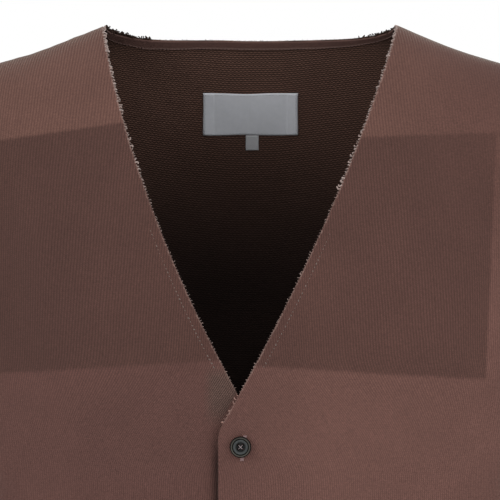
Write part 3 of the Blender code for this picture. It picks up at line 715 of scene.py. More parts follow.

# %% Small creases, laid on from a table
# in millimetres, as the long folds are
CREASES = np.array([
    # front: drag lines from the armholes and past the first button
    (196, -62, -250, 130, -108, -300, 8.5, -1.6), (200, -58, -272, 140, -104, -335, 7.5, 1.4),
    (-198, -60, -255, -128, -108, -292, 8, -1.7), (-202, -56, -280, -150, -100, -350, 7.5, 1.3),
    (16, -126, -345, 60, -122, -372, 10, -1.6), (-34, -126, -372, -75, -120, -420, 11, -2),
    (20, -124, -430, 90, -116, -460, 12, 2.2), (-40, -124, -520, -110, -112, -555, 13, -2.4),
    (30, -122, -560, 105, -110, -620, 13, -2.2), (150, -100, -360, 60, -118, -430, 11, -2.6),
    (-160, -98, -400, -70, -116, -465, 12, -2.8), (172, -88, -430, 120, -104, -520, 12, 2.4),
    (-175, -85, -470, -125, -103, -560, 12.5, 2.2), (45, -118, -490, 60, -114, -640, 13, -2.2),
    (-50, -118, -570, -62, -112, -700, 13, 2),
    # front: short pulls beside the lower buttons
    (4, -126, -386, 36, -124, -396, 6, -1), (-18, -126, -383, -48, -123, -378, 6, -0.9),
    (4, -124, -466, 40, -120, -458, 7, -1.1), (-18, -124, -468, -44, -120, -479, 6.5, -1),
    (4, -122, -549, 34, -118, -561, 6.5, -1), (-18, -120, -630, -50, -116, -624, 7, -1),
    # back: waist and blades
    (150, 90, -330, 50, 106, -420, 12, -4.5), (-150, 90, -340, -40, 106, -440, 13, -4.8),
    (110, 98, -380, -20, 108, -455, 12, 3.6), (-100, 98, -400, 30, 106, -482, 11, 3.1),
    (20, 106, -510, 60, 102, -650, 14, -3.6), (-80, 100, -530, -92, 98, -700, 14, 3.9),
    (162, 82, -430, 150, 84, -610, 13, -3.9), (120, 100, -140, 152, 88, -235, 12, -2.5),
    (-128, 98, -150, -150, 86, -255, 12, -2.8), (196, 70, -290, 110, 104, -345, 9, -4.5),
    (-196, 70, -285, -120, 102, -352, 9, -4.2), (60, 108, -395, -30, 108, -418, 13, -3.9),
    (-110, 100, -430, -20, 106, -452, 12, 3.1), (120, 98, -470, 30, 105, -492, 12, -3.6),
    (86, 108, -60, 60, 112, -150, 11, 0.9), (-92, 106, -70, -70, 110, -165, 11, 1),
    # sleeves: head, inner elbow, forearm
    (228, -40, -120, 246, -52, -190, 8, -2.6), (-228, -40, -115, -248, -50, -185, 8, -2.8),
    (246, -52, -270, 290, -50, -318, 9, -3.6), (-244, -50, -262, -286, -52, -310, 9, -3.6),
    (268, -20, -330, 330, -50, -352, 8, 4), (276, -16, -368, 338, -50, -404, 7, -3.8),
    (-266, -18, -324, -328, -50, -360, 8, 4), (-276, -14, -362, -340, -48, -392, 7.2, -4),
    (300, -6, -430, 352, -50, -486, 8.5, -3), (-302, -6, -426, -350, -50, -474, 8.5, -3.2),
    (300, 44, -300, 352, 36, -340, 10, 2.6), (-300, 44, -296, -350, 38, -345, 10, 2.4),
    (352, 18, -470, 400, -4, -500, 9, -2.6), (-352, 18, -462, -402, -4, -508, 9, -2.8),
    (356, -62, -600, 426, -58, -612, 7, -2.8), (-356, -62, -605, -428, -56, -598, 7, -2.8),
]) / 1000
print(len(CREASES), "small creases")

# %% How the cloth lies
# jersey is never quite even: slow and quick waves, this high
SLOW_WAVE, QUICK_WAVE = 0.00045, 0.00016


def creased(p):
    """How far the small creases and the cloth's own unevenness move the points p outwards."""
    total = with_ridges(np.zeros(p.shape[:-1]), p, CREASES)
    x, y, z = p[..., 0], p[..., 1], p[..., 2]
    slow = np.sin(71 * x + 38 * z + 0.6) * np.sin(57 * z - 33 * y + 1.1)
    quick = np.sin(163 * x - 97 * y + 2.0) * np.sin(149 * z + 61 * x + 0.3)
    return total + SLOW_WAVE * slow + QUICK_WAVE * quick


print("the point on the front is moved by", creased(on_front).round(5)[0])

# %% Walls, furrows and the turned hem
# a furrow along each seam, with a pucker in it
SEAM_FURROW, SEAM_REACH = 0.00055, 0.0045
PUCKER, PUCKER_REACH = 0.00016, 0.007
PUCKER_WAVES = np.array([310.0, 270.0, 420.0])
# the turned hem, and the line where it is stitched down
HEM_DEPTH, HEM_PROUD, HEM_STEP = 0.0230, 0.00035, (0.0002, 0.0012)
HEM_SEWN_AT, HEM_SEWN, HEM_SEWN_REACH = HEM_DEPTH - 0.0012, 0.0003, 0.0011
# how far from a free edge and from a seam the wall's end is round, and how thin it ends
FREE_ROUND, SEAM_ROUND, LEAST_WALL = 0.0010, 0.0013, 0.16
# stands for the distance from an edge that a piece doesn't have
FAR = 1.0


def rounded(distance, reach):
    """The wall's share of its half thickness near an edge, on a round end."""
    inside = np.clip(distance / reach, 0.0, 1.0)
    return np.maximum(np.sqrt(1.0 - (1.0 - inside) ** 2), LEAST_WALL)


def wall_of(grid, seam, free, hem, lift=0.0):
    """The two sides. seam, free and hem are distances from those edges."""
    aim = normals(grid)
    half = WALL / 2 * rounded(seam, SEAM_ROUND) * rounded(free, FREE_ROUND) * rounded(hem, FREE_ROUND)
    pucker = PUCKER * np.sin(grid @ PUCKER_WAVES) * np.exp(-((seam / PUCKER_REACH) ** 2))
    furrow = -SEAM_FURROW * np.clip(1.0 - seam / SEAM_REACH, 0.0, 1.0) ** 2 + pucker
    band = 1.0 - smooth_step(HEM_DEPTH + HEM_STEP[0], HEM_DEPTH + HEM_STEP[1], hem)
    sewn = HEM_SEWN * np.exp(-(((hem - HEM_SEWN_AT) / HEM_SEWN_REACH) ** 2))
    move = creased(grid) + furrow + lift
    outer = grid + aim * (move + half + HEM_PROUD * band - sewn)[..., None]
    inner = grid + aim * (move - half - 2 * HEM_PROUD * band + sewn)[..., None]
    return outer, inner, aim


print("hem band", HEM_DEPTH, "m deep")


# %% The knit's map
def knit_map(grid, start_u, start_v):
    """Metres across the wales and along them, for the knit's pattern."""
    across = np.hypot(np.diff(grid[..., 0], axis=1), np.diff(grid[..., 1], axis=1))
    u = start_u[:, None] + np.insert(np.cumsum(across, axis=1), 0, 0.0, axis=1)
    rise = np.hypot(np.diff(grid[..., 1], axis=0), np.diff(grid[..., 2], axis=0))
    v = start_v + np.insert(np.cumsum(rise, axis=0), 0, 0.0, axis=0)
    return np.stack([u, v], axis=-1)


print("map helper ready")


# %% The faces of a wall
def wall_faces(rows, columns, closed):
    """Corner numbers, map numbers and slots for the two sides and the rim of a grid."""
    across = columns if closed else columns - 1
    half = rows * columns
    i, j = np.meshgrid(np.arange(rows - 1), np.arange(across), indexing="ij")
    i, j = i.ravel(), j.ravel()
    k = (j + 1) % columns
    face = np.stack([i * columns + j, i * columns + k, (i + 1) * columns + k, (i + 1) * columns + j], 1)
    wide = across + 1
    spot = np.stack([i * wide + j, i * wide + j + 1, (i + 1) * wide + j + 1, (i + 1) * wide + j], 1)
    faces, spots, slots = [face, half + face[:, ::-1]], [spot, spot[:, ::-1]], [0, 1]

    def rim(a, b, sa, sb):
        faces.append(np.stack([a, half + a, half + b, b], 1))
        spots.append(np.stack([sa, sa, sb, sb], 1))
        slots.append(0)

    j = np.arange(across)
    k = (j + 1) % columns
    rim(j, k, j, j + 1)
    low, low_s = (rows - 1) * columns, (rows - 1) * wide
    rim(low + k, low + j, low_s + j + 1, low_s + j)
    if not closed:
        i = np.arange(rows - 1)
        rim((i + 1) * columns, i * columns, (i + 1) * wide, i * wide)
        rim(i * columns + columns - 1, (i + 1) * columns + columns - 1,
            i * wide + wide - 1, (i + 1) * wide + wide - 1)
    slot = np.concatenate([np.full(len(f), s) for f, s in zip(faces, slots)])
    return np.concatenate(faces), np.concatenate(spots), slot


print("one cell:", len(wall_faces(2, 2, False)[0]), "faces")


# %% A closed mesh from two sides
def cloth_mesh(name, outer, inner, uv, closed=False, raw=None):
    """A sewn piece: slot 0 is the outer face, slot 1 the inner one."""
    faces, spots, slot = wall_faces(*outer.shape[:2], closed)
    points = np.concatenate([outer.reshape(-1, 3), inner.reshape(-1, 3)])
    face = faces[slot == 0]
    a, b, c = (points[face[:, k]] for k in range(3))
    facing = (np.cross(b - a, c - a) * (outer - inner).reshape(-1, 3)[face[:, 0]]).sum()
    if facing < 0:
        faces, spots = faces[:, ::-1], spots[:, ::-1]
    mesh = bpy.data.meshes.new(name)
    mesh.vertices.add(len(points))
    mesh.vertices.foreach_set("co", points.ravel())
    mesh.loops.add(faces.size)
    mesh.loops.foreach_set("vertex_index", faces.ravel())
    mesh.polygons.add(len(faces))
    mesh.polygons.foreach_set("loop_start", np.arange(len(faces)) * 4)
    mesh.polygons.foreach_set("material_index", slot)
    mesh.polygons.foreach_set("use_smooth", np.ones(len(faces), bool))
    layer = mesh.uv_layers.new(name="knit")
    layer.data.foreach_set("uv", uv.reshape(-1, 2)[spots.ravel()].ravel())
    if raw is not None:
        edge = mesh.attributes.new("raw", "FLOAT", "POINT")
        edge.data.foreach_set("value", np.concatenate([raw.ravel(), raw.ravel()]))
    mesh.update()
    mesh.validate()
    print(name, len(points), "points", 2 * len(faces), "triangles")
    return linked(name, mesh)


print("cloth is", WALL, "m thick")


# %% [markdown]
# ## The two fronts
# Each front runs from the hem to the shoulder seam and from the cut edge to the side seam and
# armhole. The wearer's left laps over the right, so it stands off the form near the buttons,
# and the one beneath is pressed in a little there. Both are grids, because a grid keeps the
# wales of the knit in one direction, which a remeshed sheet would lose.

# %% Distances from a panel's edges
def from_edges(grid):
    """Distances from the first row, last row, first column and last column."""
    up, across = run_length(grid, 0), run_length(grid, 1)
    return up, up[-1:] - up, across, across[:, -1:] - across


# each sewn edge stands back from its seam by this much, so that two pieces never touch
SEAM_DRAW = 0.00012


def drawn_in(grid, *, row=None, column=None):
    """One edge line moved towards the next line of its grid."""
    if row is not None:
        inner = 1 if row == 0 else -2
        grid[row] += SEAM_DRAW * unit(grid[inner] - grid[row])
    if column is not None:
        inner = 1 if column == 0 else -2
        grid[:, column] += SEAM_DRAW * unit(grid[:, inner] - grid[:, column])


print("a front:", from_edges(coarse["front", 1])[1].max().round(3), "high")

# %% How fine the fronts are
# extra rows, as shares of the first coarse row, where the hem bends
HEM_ROWS = np.array([0.0005, 0.0011, 0.0022, 0.0205, 0.0215, 0.0222, 0.0229, 0.0236, 0.0245]) / 0.0335
LAST_ROW, LAST_COLUMN = ROWS_BELOW + ROWS_ARMHOLE, SHOULDER_COLUMNS
FRONT_ROWS = places_along(LAST_ROW, 8, [*HEM_ROWS, LAST_ROW - 0.1, LAST_ROW - 0.05])
FRONT_COLUMNS = places_along(LAST_COLUMN, 9, [0.018, 0.05, LAST_COLUMN - 0.09, LAST_COLUMN - 0.05])
# the free edge is set on its own line, and this many columns beside it follow, less and less
EDGE_COLUMNS = 10.0


def fine_front(side):
    """A front's fine grid, with its edge on the V's own line."""
    grid = finer(coarse["front", side], FRONT_ROWS, FRONT_COLUMNS)
    shift = opening_edge_x(grid[:, 0, 2], side) - grid[:, 0, 0]
    fade = np.clip(1.0 - np.arange(grid.shape[1]) / EDGE_COLUMNS, 0.0, 1.0) ** 2
    grid[..., 0] += shift[:, None] * fade
    grid = onto_form(grid, 1)
    drawn_in(grid, row=-1)
    drawn_in(grid, column=-1)
    return grid


print("a front has", len(FRONT_ROWS), "rows and", len(FRONT_COLUMNS), "columns")

# %% How one front laps over the other
# the fronts lie together below these heights
LAP_HEIGHTS = (-0.250, -0.190)
# the over front stands off up to the first of these x and is down again at the second
OVER_REACH = (0.012, 0.050)
EDGE_PROUD, EDGE_PROUD_REACH = 0.0004, 0.006
# the under front is pressed in beside the over front's edge
UNDER_DIP, UNDER_DIP_X, UNDER_DIP_REACH = 0.0026, OVER_EDGE_X + 0.003, 0.015


def lap(grid, side, free):
    """How far a front stands off the form where the two lie together."""
    x, z = grid[..., 0], grid[..., 2]
    low = 1.0 - smooth_step(*LAP_HEIGHTS, z)
    if side > 0:
        lift = OVERLAP_LIFT * (1.0 - smooth_step(*OVER_REACH, x)) * low
        return lift + EDGE_PROUD * np.exp(-((free / EDGE_PROUD_REACH) ** 2)) * low
    return -UNDER_DIP * np.exp(-(((x - UNDER_DIP_X) / UNDER_DIP_REACH) ** 2)) * low


print("the over front stands", OVERLAP_LIFT, "off")

# %% Fronts
# the wales lean a little outwards, and the buttoning pulls them askew at the foot of the V
GRAIN_LEAN, PULL, PULL_LEVEL = 0.06, 0.046, 0.35
PULL_HEIGHTS, PULL_REACH = (-0.326, -0.238), (0.03, 0.21)

fronts, front_sides = {}, {}
for side, name in ((1, "front_left"), (-1, "front_right")):
    grid = fine_front(side)
    hem_d, top_d, free_d, side_d = from_edges(grid)
    outer, inner, aim = wall_of(grid, np.minimum(top_d, side_d), free_d, hem_d, lap(grid, side, free_d))
    uv = knit_map(grid, grid[:, 0, 0] * side, -BODY_LENGTH)
    pulled = smooth_step(*PULL_HEIGHTS, grid[..., 2]) - PULL_LEVEL
    reached = 1.0 - smooth_step(*PULL_REACH, uv[..., 0])
    uv[..., 0] += GRAIN_LEAN * uv[..., 1] + PULL * pulled * reached
    fronts[side] = cloth_mesh(name, outer, inner, uv, raw=free_d)
    front_sides[side] = dict(outer=outer, inner=inner, aim=aim, grid=grid)

# %% [markdown]
# ## The back and the sleeves
# The back is one piece, and its neck edge is cut raw. The sleeves are bent tubes, sewn in at
# the armhole and turned up at the cuff. They are made in the same way as the fronts, so that the
# same map and the same finish serve all five pieces.

# %% Back
BACK_COLUMNS = 2 * SHOULDER_COLUMNS + NECK_COLUMNS
# the raw neck edge ends this far from the shoulder seams
NECK_ENDS = 0.0004

grid = finer(coarse["back", 0],
             places_along(LAST_ROW, 6, [*HEM_ROWS, LAST_ROW - 0.1, LAST_ROW - 0.05]),
             places_along(BACK_COLUMNS, 5, [0.06, 0.13, BACK_COLUMNS - 0.06, BACK_COLUMNS - 0.13]))
neck_part = np.abs(grid[-1, :, 0]) < NECK_HALF_WIDTH - NECK_ENDS
shoulder_row = grid[-1] + SEAM_DRAW * unit(grid[-2] - grid[-1])
grid[-1] = np.where(neck_part[:, None], grid[-1], shoulder_row)
drawn_in(grid, column=0)
drawn_in(grid, column=-1)
hem_d, top_d, right_d, left_d = from_edges(grid)
at_shoulder = np.where(neck_part[None], FAR, top_d)
at_neck = np.where(neck_part[None], top_d, FAR)
at_seam = np.minimum(np.minimum(right_d, left_d), at_shoulder)
outer, inner, aim = wall_of(grid, at_seam, at_neck, hem_d)
half_way = grid.shape[1] // 2
uv = knit_map(grid, np.zeros(len(grid)), -BODY_LENGTH)
uv[..., 0] -= uv[:, half_way:half_way + 1, 0]
back = cloth_mesh("back", outer, inner, uv, raw=at_neck)
back_sides = dict(outer=outer, inner=inner, aim=aim, grid=grid)

# %% Sleeves
CUFF_ROWS = SLEEVE_ROWS - HEM_ROWS * 0.0335 / 0.0245
SLEEVE_PARTS = 6

sleeves, sleeve_sides = {}, {}
for side, name in ((1, "sleeve_left"), (-1, "sleeve_right")):
    rough = coarse["sleeve", side]
    count = rough.shape[1]
    grid = finer(rough, places_along(SLEEVE_ROWS, SLEEVE_PARTS, [0.03, 0.06, 0.11, *CUFF_ROWS]),
                 np.arange(count * SLEEVE_PARTS) / SLEEVE_PARTS, closed=True)
    grid[0] += SEAM_DRAW * unit(grid[1] - grid[0])
    down = run_length(grid, 0)
    outer, inner, aim = wall_of(grid, down, FAR, down[-1:] - down)
    ring = np.concatenate([grid, grid[:, :1]], axis=1)
    around = run_length(ring, 1)
    mean_round = around[:, -1].mean()
    share = around / around[:, -1:]
    uv = np.stack([share * mean_round, np.concatenate([down, down[:, :1]], axis=1)], axis=-1)
    sleeves[side] = cloth_mesh(name, outer, inner, uv, closed=True)
    sleeve_sides[side] = dict(outer=outer, inner=inner, aim=aim, grid=grid)

# %% [markdown]
# ## The knit's finish
# The outside is a fine plain jersey: columns of small V-shaped stitches called wales. The inside
# shows the same loops from behind, as short bars across. Both could be modelled stitch by stitch,
# but there are hundreds of thousands, so the height of one stitch is written with math nodes on
# the cloth's own map and used for the bump and the colour.


# %% Nodes in a tree
class Nodes:
    """Makes and links the nodes of one tree."""

    def __init__(self, tree):
        self.tree = tree

    def feed(self, socket, value):
        """Another node's output is linked to the socket, and a plain value is set on it."""
        if isinstance(value, bpy.types.NodeSocket):
            self.tree.links.new(value, socket)
        else:
            socket.default_value = value

    def node(self, kind, inputs=(), **settings):
        made = self.tree.nodes.new(kind)
        for key, value in settings.items():
            setattr(made, key, value)
        for key, value in dict(inputs).items():
            self.feed(made.inputs[key], value)
        return made

    def math(self, operation, *values):
        return self.node("ShaderNodeMath", enumerate(values), operation=operation).outputs[0]

    def plus(self, first, second):
        return self.math("ADD", first, second)

    def minus(self, first, second):
        return self.math("SUBTRACT", first, second)

    def times(self, first, second):
        return self.math("MULTIPLY", first, second)

    def fit(self, value, factor, start):
        """value * factor + start."""
        return self.math("MULTIPLY_ADD", value, factor, start)

    def wave(self, value, length=1.0):
        """A sine wave that repeats after this length."""
        return self.math("SINE", self.times(value, 2 * math.pi / length))


print("node helper ready")


# %% One finish
class Finish(Nodes):
    """One material, its shader and its nodes."""

    def __init__(self, name, roughness):
        self.material = bpy.data.materials.new(name)
        self.material.use_nodes = True
        super().__init__(self.material.node_tree)
        self.shader = self.tree.nodes["Principled BSDF"]
        self.look({"Base Color": (0.5, 0.5, 0.5, 1.0), "Roughness": roughness})

    def look(self, inputs):
        """Sets or links the shader's own inputs."""
        for key, value in inputs.items():
            self.feed(self.shader.inputs[key], value)

    def ramp(self, value, low, high):
        """A soft step from 0 at low to 1 at high."""
        return self.node("ShaderNodeMapRange", {"Value": value, "From Min": low, "From Max": high},
                         interpolation_type="SMOOTHSTEP", clamp=True).outputs[0]

    def mix(self, share, first, second):
        """From the first colour at 0 to the second at 1."""
        colours = [(*c, 1.0) if isinstance(c, tuple) else c for c in (first, second)]
        return self.node("ShaderNodeMix", {0: share, 6: colours[0], 7: colours[1]},
                         data_type="RGBA", clamp_factor=True).outputs[2]

    def scaled(self, colour, factor):
        """A colour made lighter or darker by a factor."""
        return self.node("ShaderNodeVectorMath", {0: colour, "Scale": factor}, operation="SCALE").outputs[0]

    def place(self):
        return self.node("ShaderNodeTexCoord").outputs["Object"]

    def parts(self, vector):
        """The x, y and z of a vector."""
        return self.node("ShaderNodeSeparateXYZ", {0: vector}).outputs

    def cloth_map(self):
        """u and v in metres, across and along the threads."""
        return self.parts(self.node("ShaderNodeUVMap", uv_map="knit").outputs[0])[:2]

    def noise(self, scale, detail=2.0, rough=0.5, vector=None, seed=0.0):
        """An even noise from 0 to 1, fixed to the piece."""
        moved = self.node("ShaderNodeMapping", {"Vector": vector or self.place(),
                                                "Location": (seed, 2 * seed, -seed)})
        return self.node("ShaderNodeTexNoise", {"Vector": moved.outputs[0], "Scale": scale,
                                                "Detail": detail, "Roughness": rough}).outputs[0]

    def bump(self, height, distance, strength=1.0):
        made = self.node("ShaderNodeBump", {"Height": height, "Distance": distance,
                                            "Strength": strength})
        self.look({"Normal": made.outputs[0]})


print("material helper ready")

# %% Stitch heights outside
# a stitch's width and height, in metres
WALE, COURSE = 0.00162, 0.00140
# how far the wales wander, and how much of that goes along them
WANDER, WANDER_ALONG, WANDER_SCALE = 0.0011, 0.8, 38.0
# the legs of a stitch lean, and their height waves by the first number round the second
LEG_LEAN, LEG_WAVE = 1.7, (0.30, 0.75)


def stitch_map(mat):
    """The knit map's u and v, wandering a little as real wales do."""
    u, v = mat.cloth_map()
    drift = mat.times(mat.minus(mat.noise(WANDER_SCALE, 1.0, seed=3.0), 0.5), WANDER)
    return mat.plus(u, drift), mat.plus(v, mat.times(drift, WANDER_ALONG))


def knit_height(mat, u, v):
    """V-shaped stitches: a ridge for each wale, with leaning legs and a furrow between."""
    across = mat.math("FRACT", mat.math("DIVIDE", u, WALE))
    across = mat.math("ABSOLUTE", mat.minus(across, 0.5))
    wide = mat.times(across, 2.0)
    ridge = mat.minus(1.0, mat.times(wide, wide))
    slant = mat.fit(across, LEG_LEAN, mat.math("DIVIDE", v, COURSE))
    return mat.times(ridge, mat.fit(mat.wave(slant), *LEG_WAVE))


print("a stitch is", WALE, "by", COURSE)

# %% Stitch heights inside
# inside, the loops of a looser yarn show: their rows, their length and how far the rows sag
INNER_ROW, INNER_LOOP, SAG, SAG_ROUND = 0.00177, 0.0031, 0.17, 0.035
# each row bends, is a rounded bar, has gaps, and steps sideways by a share of a loop
ROW_BEND, BAR_WAVE, GAP_WAVE, ROW_STEP = 0.12, (0.5, 0.5), (0.28, 0.72), 0.50


def purl_height(mat, u, v):
    """The back of the same stitches: short bars that step sideways from course to course."""
    row = mat.math("DIVIDE", v, INNER_ROW)
    bent = mat.fit(mat.wave(u, INNER_LOOP), ROW_BEND, row)
    bar = mat.fit(mat.wave(bent), *BAR_WAVE)
    step = mat.times(mat.math("FLOOR", row), ROW_STEP)
    dash = mat.plus(mat.math("DIVIDE", u, INNER_LOOP), step)
    return mat.times(bar, mat.fit(mat.wave(dash), *GAP_WAVE))


print("an inner row is", INNER_ROW, "high")

# %% [markdown]
# ## The dye
# Overdyed cloth is never one flat colour. This one changes softly from side to side and from top
# to bottom, and two blocks that were darker before the dyeing still show a little, one on each
# front. They are drawn by straight lines with soft, shaky ends. An image would be easier to
# paint, but lines stay sharp at any size and need no file.

# %% Colours of the dye
# linear light; left and right are as the viewer sees them
CLOTH_TOP = (0.0910, 0.0446, 0.0351)
CLOTH_TOP_RIGHT = (0.0750, 0.0355, 0.0286)
CLOTH_LOW_LEFT = (0.0740, 0.0347, 0.0289)
CLOTH_LOW_RIGHT = (0.0989, 0.0475, 0.0388)
CLOTH_BLOCK = (0.0580, 0.0276, 0.0221)
# the x between which the low and the top tones change, and the heights from low to top
LOW_ACROSS, TOP_ACROSS, LOW_TO_TOP = (-0.05, 0.05), (0.05, 0.19), (-0.235, -0.085)


def dyed_colour(mat, x, z):
    """The dye's even tone at a place."""
    low = mat.mix(mat.ramp(x, *LOW_ACROSS), CLOTH_LOW_LEFT, CLOTH_LOW_RIGHT)
    top = mat.mix(mat.ramp(x, *TOP_ACROSS), CLOTH_TOP, CLOTH_TOP_RIGHT)
    return mat.mix(mat.ramp(z, *LOW_TO_TOP), low, top)


print("dye changes in z", LOW_TO_TOP)

# %% Fade blocks on the fronts
# a line by its slope and a point on it, in x and z
RIGHT_TOP, RIGHT_LOW = (0.0385, 0.168, -0.0815), (-0.0657, 0.0168, -0.2472)
LEFT_TOP, LEFT_LOW = (0.1415, -0.0895, -0.0741), (0.068, -0.021, -0.2423)
# the right block's outer edge by its slope and a point, and the left block's by its soft x
RIGHT_SIDE, LEFT_SIDE = (0.0529, -0.1233, 0.1744), (-0.188, -0.182)
TOP_SOFT, LOW_SOFT, SIDE_SOFT, MIDDLE_SOFT = 0.0016, 0.0018, 0.0014, 0.002
SHAKE, SHAKE_SCALE = 0.0022, 420.0


def fade_blocks(mat):
    """1 inside the two darker blocks of the front, 0 outside them."""
    x, _, z = mat.parts(mat.place())[:3]
    shake = mat.times(mat.minus(mat.noise(SHAKE_SCALE, seed=9.0), 0.5), SHAKE)
    x, z = mat.plus(x, shake), mat.plus(z, shake)

    def line(value, slope, at, height):
        return mat.fit(value, slope, height - slope * at)

    def block(top, low, outer_side, inner_side):
        under = mat.ramp(mat.minus(line(x, *top), z), -TOP_SOFT, TOP_SOFT)
        over = mat.ramp(mat.minus(z, line(x, *low)), -LOW_SOFT, LOW_SOFT)
        return mat.times(mat.times(under, over), mat.times(outer_side, inner_side))

    right_side = mat.ramp(mat.minus(line(z, *RIGHT_SIDE), x), -SIDE_SOFT, SIDE_SOFT)
    right = block(RIGHT_TOP, RIGHT_LOW, right_side, mat.ramp(x, -MIDDLE_SOFT, MIDDLE_SOFT))
    left = block(LEFT_TOP, LEFT_LOW, mat.ramp(x, *LEFT_SIDE), mat.ramp(x, MIDDLE_SOFT, -MIDDLE_SOFT))
    return mat.plus(right, left)


# the share of the blocks' own tone
BLOCK_SHARE = 0.92
# lighter low on the right, and darker towards the left: where, and by how much
RIGHT_LOW_X, RIGHT_LOW_Z, RIGHT_LOW_GAIN = (0.0, 0.05), (-0.13, -0.23), 0.07
LEFT_X, LEFT_LOSS = (-0.03, -0.16), -0.14


def with_blocks(mat, colour, x, z):
    """The colour with the darker blocks in it."""
    right_low = mat.times(mat.ramp(x, *RIGHT_LOW_X), mat.ramp(z, *RIGHT_LOW_Z))
    uneven = mat.fit(mat.ramp(x, *LEFT_X), LEFT_LOSS, 1.0)
    dyed = mat.scaled(CLOTH_BLOCK, mat.fit(right_low, RIGHT_LOW_GAIN, uneven))
    return mat.mix(mat.times(fade_blocks(mat), BLOCK_SHARE), colour, dyed)


print("blocks keep", BLOCK_SHARE, "of their tone")

# %% Stretched knit, painted sheen and painted shadow at the foot of the V
# where the under front is drawn in, the knit is stretched; its greyer tone there is painted sheen, where the
# cloth turns away
PAINTED_SHEEN, PAINTED_SHEEN_SHARE = (0.074, 0.050, 0.040), 0.55
FACET_LOW, FACET_HIGH, FACET_X = (-0.292, -0.272), (-0.244, -0.256), (-0.034, -0.024)
# the lapping edge at the foot of the V is the line x = LAP_SLOPE * z + LAP_LINE
LAP_SLOPE, LAP_LINE, LAP_SOFT = 0.536, 0.1336, 0.002


def stretched_facet(mat, x, z):
    """1 on the stretched patch of the under front, which also carries the painted sheen."""
    along = mat.times(mat.ramp(z, *FACET_LOW), mat.ramp(z, *FACET_HIGH))
    under = mat.ramp(mat.fit(z, -LAP_SLOPE, x), LAP_LINE, LAP_LINE - LAP_SOFT)
    return mat.times(along, mat.times(mat.ramp(x, *FACET_X), under))


# painted shadow: the over front's edge keeps the light off the cloth just beside it, from these heights down
SHADE_WIDTH, SHADE_SOFT, SHADE_FALL, SHADE_DEPTH = 0.0105, 0.0007, 2.5, 0.62
SHADE_HEIGHTS = (-0.286, -0.316)


def lap_shade(mat, x, z):
    """The painted shadow's factor: 1 in the light, less beside the lapping edge."""
    close = mat.math("POWER", mat.ramp(x, OVER_EDGE_X - SHADE_WIDTH, OVER_EDGE_X), SHADE_FALL)
    close = mat.times(close, mat.ramp(x, OVER_EDGE_X + SHADE_SOFT, OVER_EDGE_X))
    close = mat.times(close, mat.ramp(z, *SHADE_HEIGHTS))
    return mat.fit(close, -SHADE_DEPTH, 1.0)


print("the shade is", SHADE_WIDTH, "wide")

# %% Fibres at the cut edge
CUT_EDGE = (0.230, 0.150, 0.128)
# how deep the ragged edge reaches in, how soft it is, and where it is broken
RAGGED, RAGGED_SOFT, BROKEN, BROKEN_SHARE = (0.0016, 0.0002), 0.0004, (0.44, 0.62), (0.45, 0.06)
# below the V the edge is turned under, not cut raw
RAW_HEIGHTS = (-0.292, -0.276)


def with_cut_edge(mat, colour, z):
    """The colour with paler fibres along the raw edge."""
    raw = mat.node("ShaderNodeAttribute", attribute_name="raw").outputs["Fac"]
    ragged = mat.fit(mat.noise(900.0, seed=7.0), *RAGGED)
    share = mat.ramp(mat.minus(ragged, raw), -RAGGED_SOFT, RAGGED_SOFT)
    share = mat.times(share, mat.ramp(z, *RAW_HEIGHTS))
    broken = mat.ramp(mat.noise(560.0, 2.0, 0.6, seed=13.0), *BROKEN)
    share = mat.times(share, mat.fit(broken, *BROKEN_SHARE))
    return mat.mix(share, colour, CUT_EDGE)


print("fibres up to", sum(RAGGED), "m deep")

# %% The outer face
# single fibres and slow clouds make the tone uneven, by the first number round the second
HEATHER, CLOUD = (1.00, 0.50), (0.30, 0.85)
# the wales are flatter on the wearer's left shoulder and open up where the knit is stretched
KNIT_STRENGTH, FLATTER, OPENED = 0.55, -0.30, 0.80
FLAT_X, FLAT_Z = (0.085, 0.150), (-0.200, -0.090)
FUZZ, KNIT_BUMP, BUMP_DEPTH = 0.25, 1.7, 0.00034
NAP = {"Sheen Weight": 0.35, "Sheen Roughness": 0.20, "Sheen Tint": (0.56, 0.58, 0.50, 1.0),
       "Specular IOR Level": 0.18}


def cloth_face(name, front=False):
    """The dyed jersey's outer face. The fronts have blocks, a stretched patch with painted sheen, a painted
    shadow beside the lapping edge and a raw edge.
    """
    mat = Finish(name, roughness=0.92)
    height = knit_height(mat, *stitch_map(mat))
    x, _, z = mat.parts(mat.place())[:3]
    colour = dyed_colour(mat, x, z)
    facet, shade = 0.0, 1.0
    if front:
        facet, shade = stretched_facet(mat, x, z), lap_shade(mat, x, z)
        colour = with_blocks(mat, colour, x, z)
        # painted sheen: the stretched patch is tinted greyer, as cloth turned away from the front looks
        colour = mat.mix(mat.times(facet, PAINTED_SHEEN_SHARE), colour, PAINTED_SHEEN)
    heather = mat.fit(mat.noise(760.0, 3.0, 0.65, seed=1.0), *HEATHER)
    cloud = mat.fit(mat.noise(21.0, 3.0, 0.55, seed=5.0), *CLOUD)
    flat = mat.times(mat.ramp(x, *FLAT_X), mat.ramp(z, *FLAT_Z))
    strength = mat.fit(facet, OPENED, mat.fit(flat, FLATTER, KNIT_STRENGTH))
    relief = mat.times(mat.minus(height, 0.5), strength)
    # the painted shadow beside the lapping edge darkens the colour here
    lit = mat.times(mat.plus(relief, 1.0), shade)
    colour = mat.scaled(colour, mat.times(mat.times(heather, cloud), lit))
    if front:
        colour = with_cut_edge(mat, colour, z)
    mat.look({"Base Color": colour, **NAP})
    fuzz = mat.noise(1500.0, 2.0, 0.6, seed=2.0)
    mat.bump(mat.fit(fuzz, FUZZ, mat.times(relief, KNIT_BUMP)), BUMP_DEPTH, 0.8)
    return mat.material


front_face = cloth_face("knit_front", front=True)
plain_face = cloth_face("knit_plain")
print("outer faces ready")

# %% The inner face
INSIDE = (0.0595, 0.0317, 0.0234)
INSIDE_PAINTED_SHADE = (0.0184, 0.0110, 0.0092)
# painted shade: the studio light hardly reaches the bottom of the hollow, so between these heights the
# inside is painted darker
DEEP_HEIGHTS = (-0.045, -0.210)
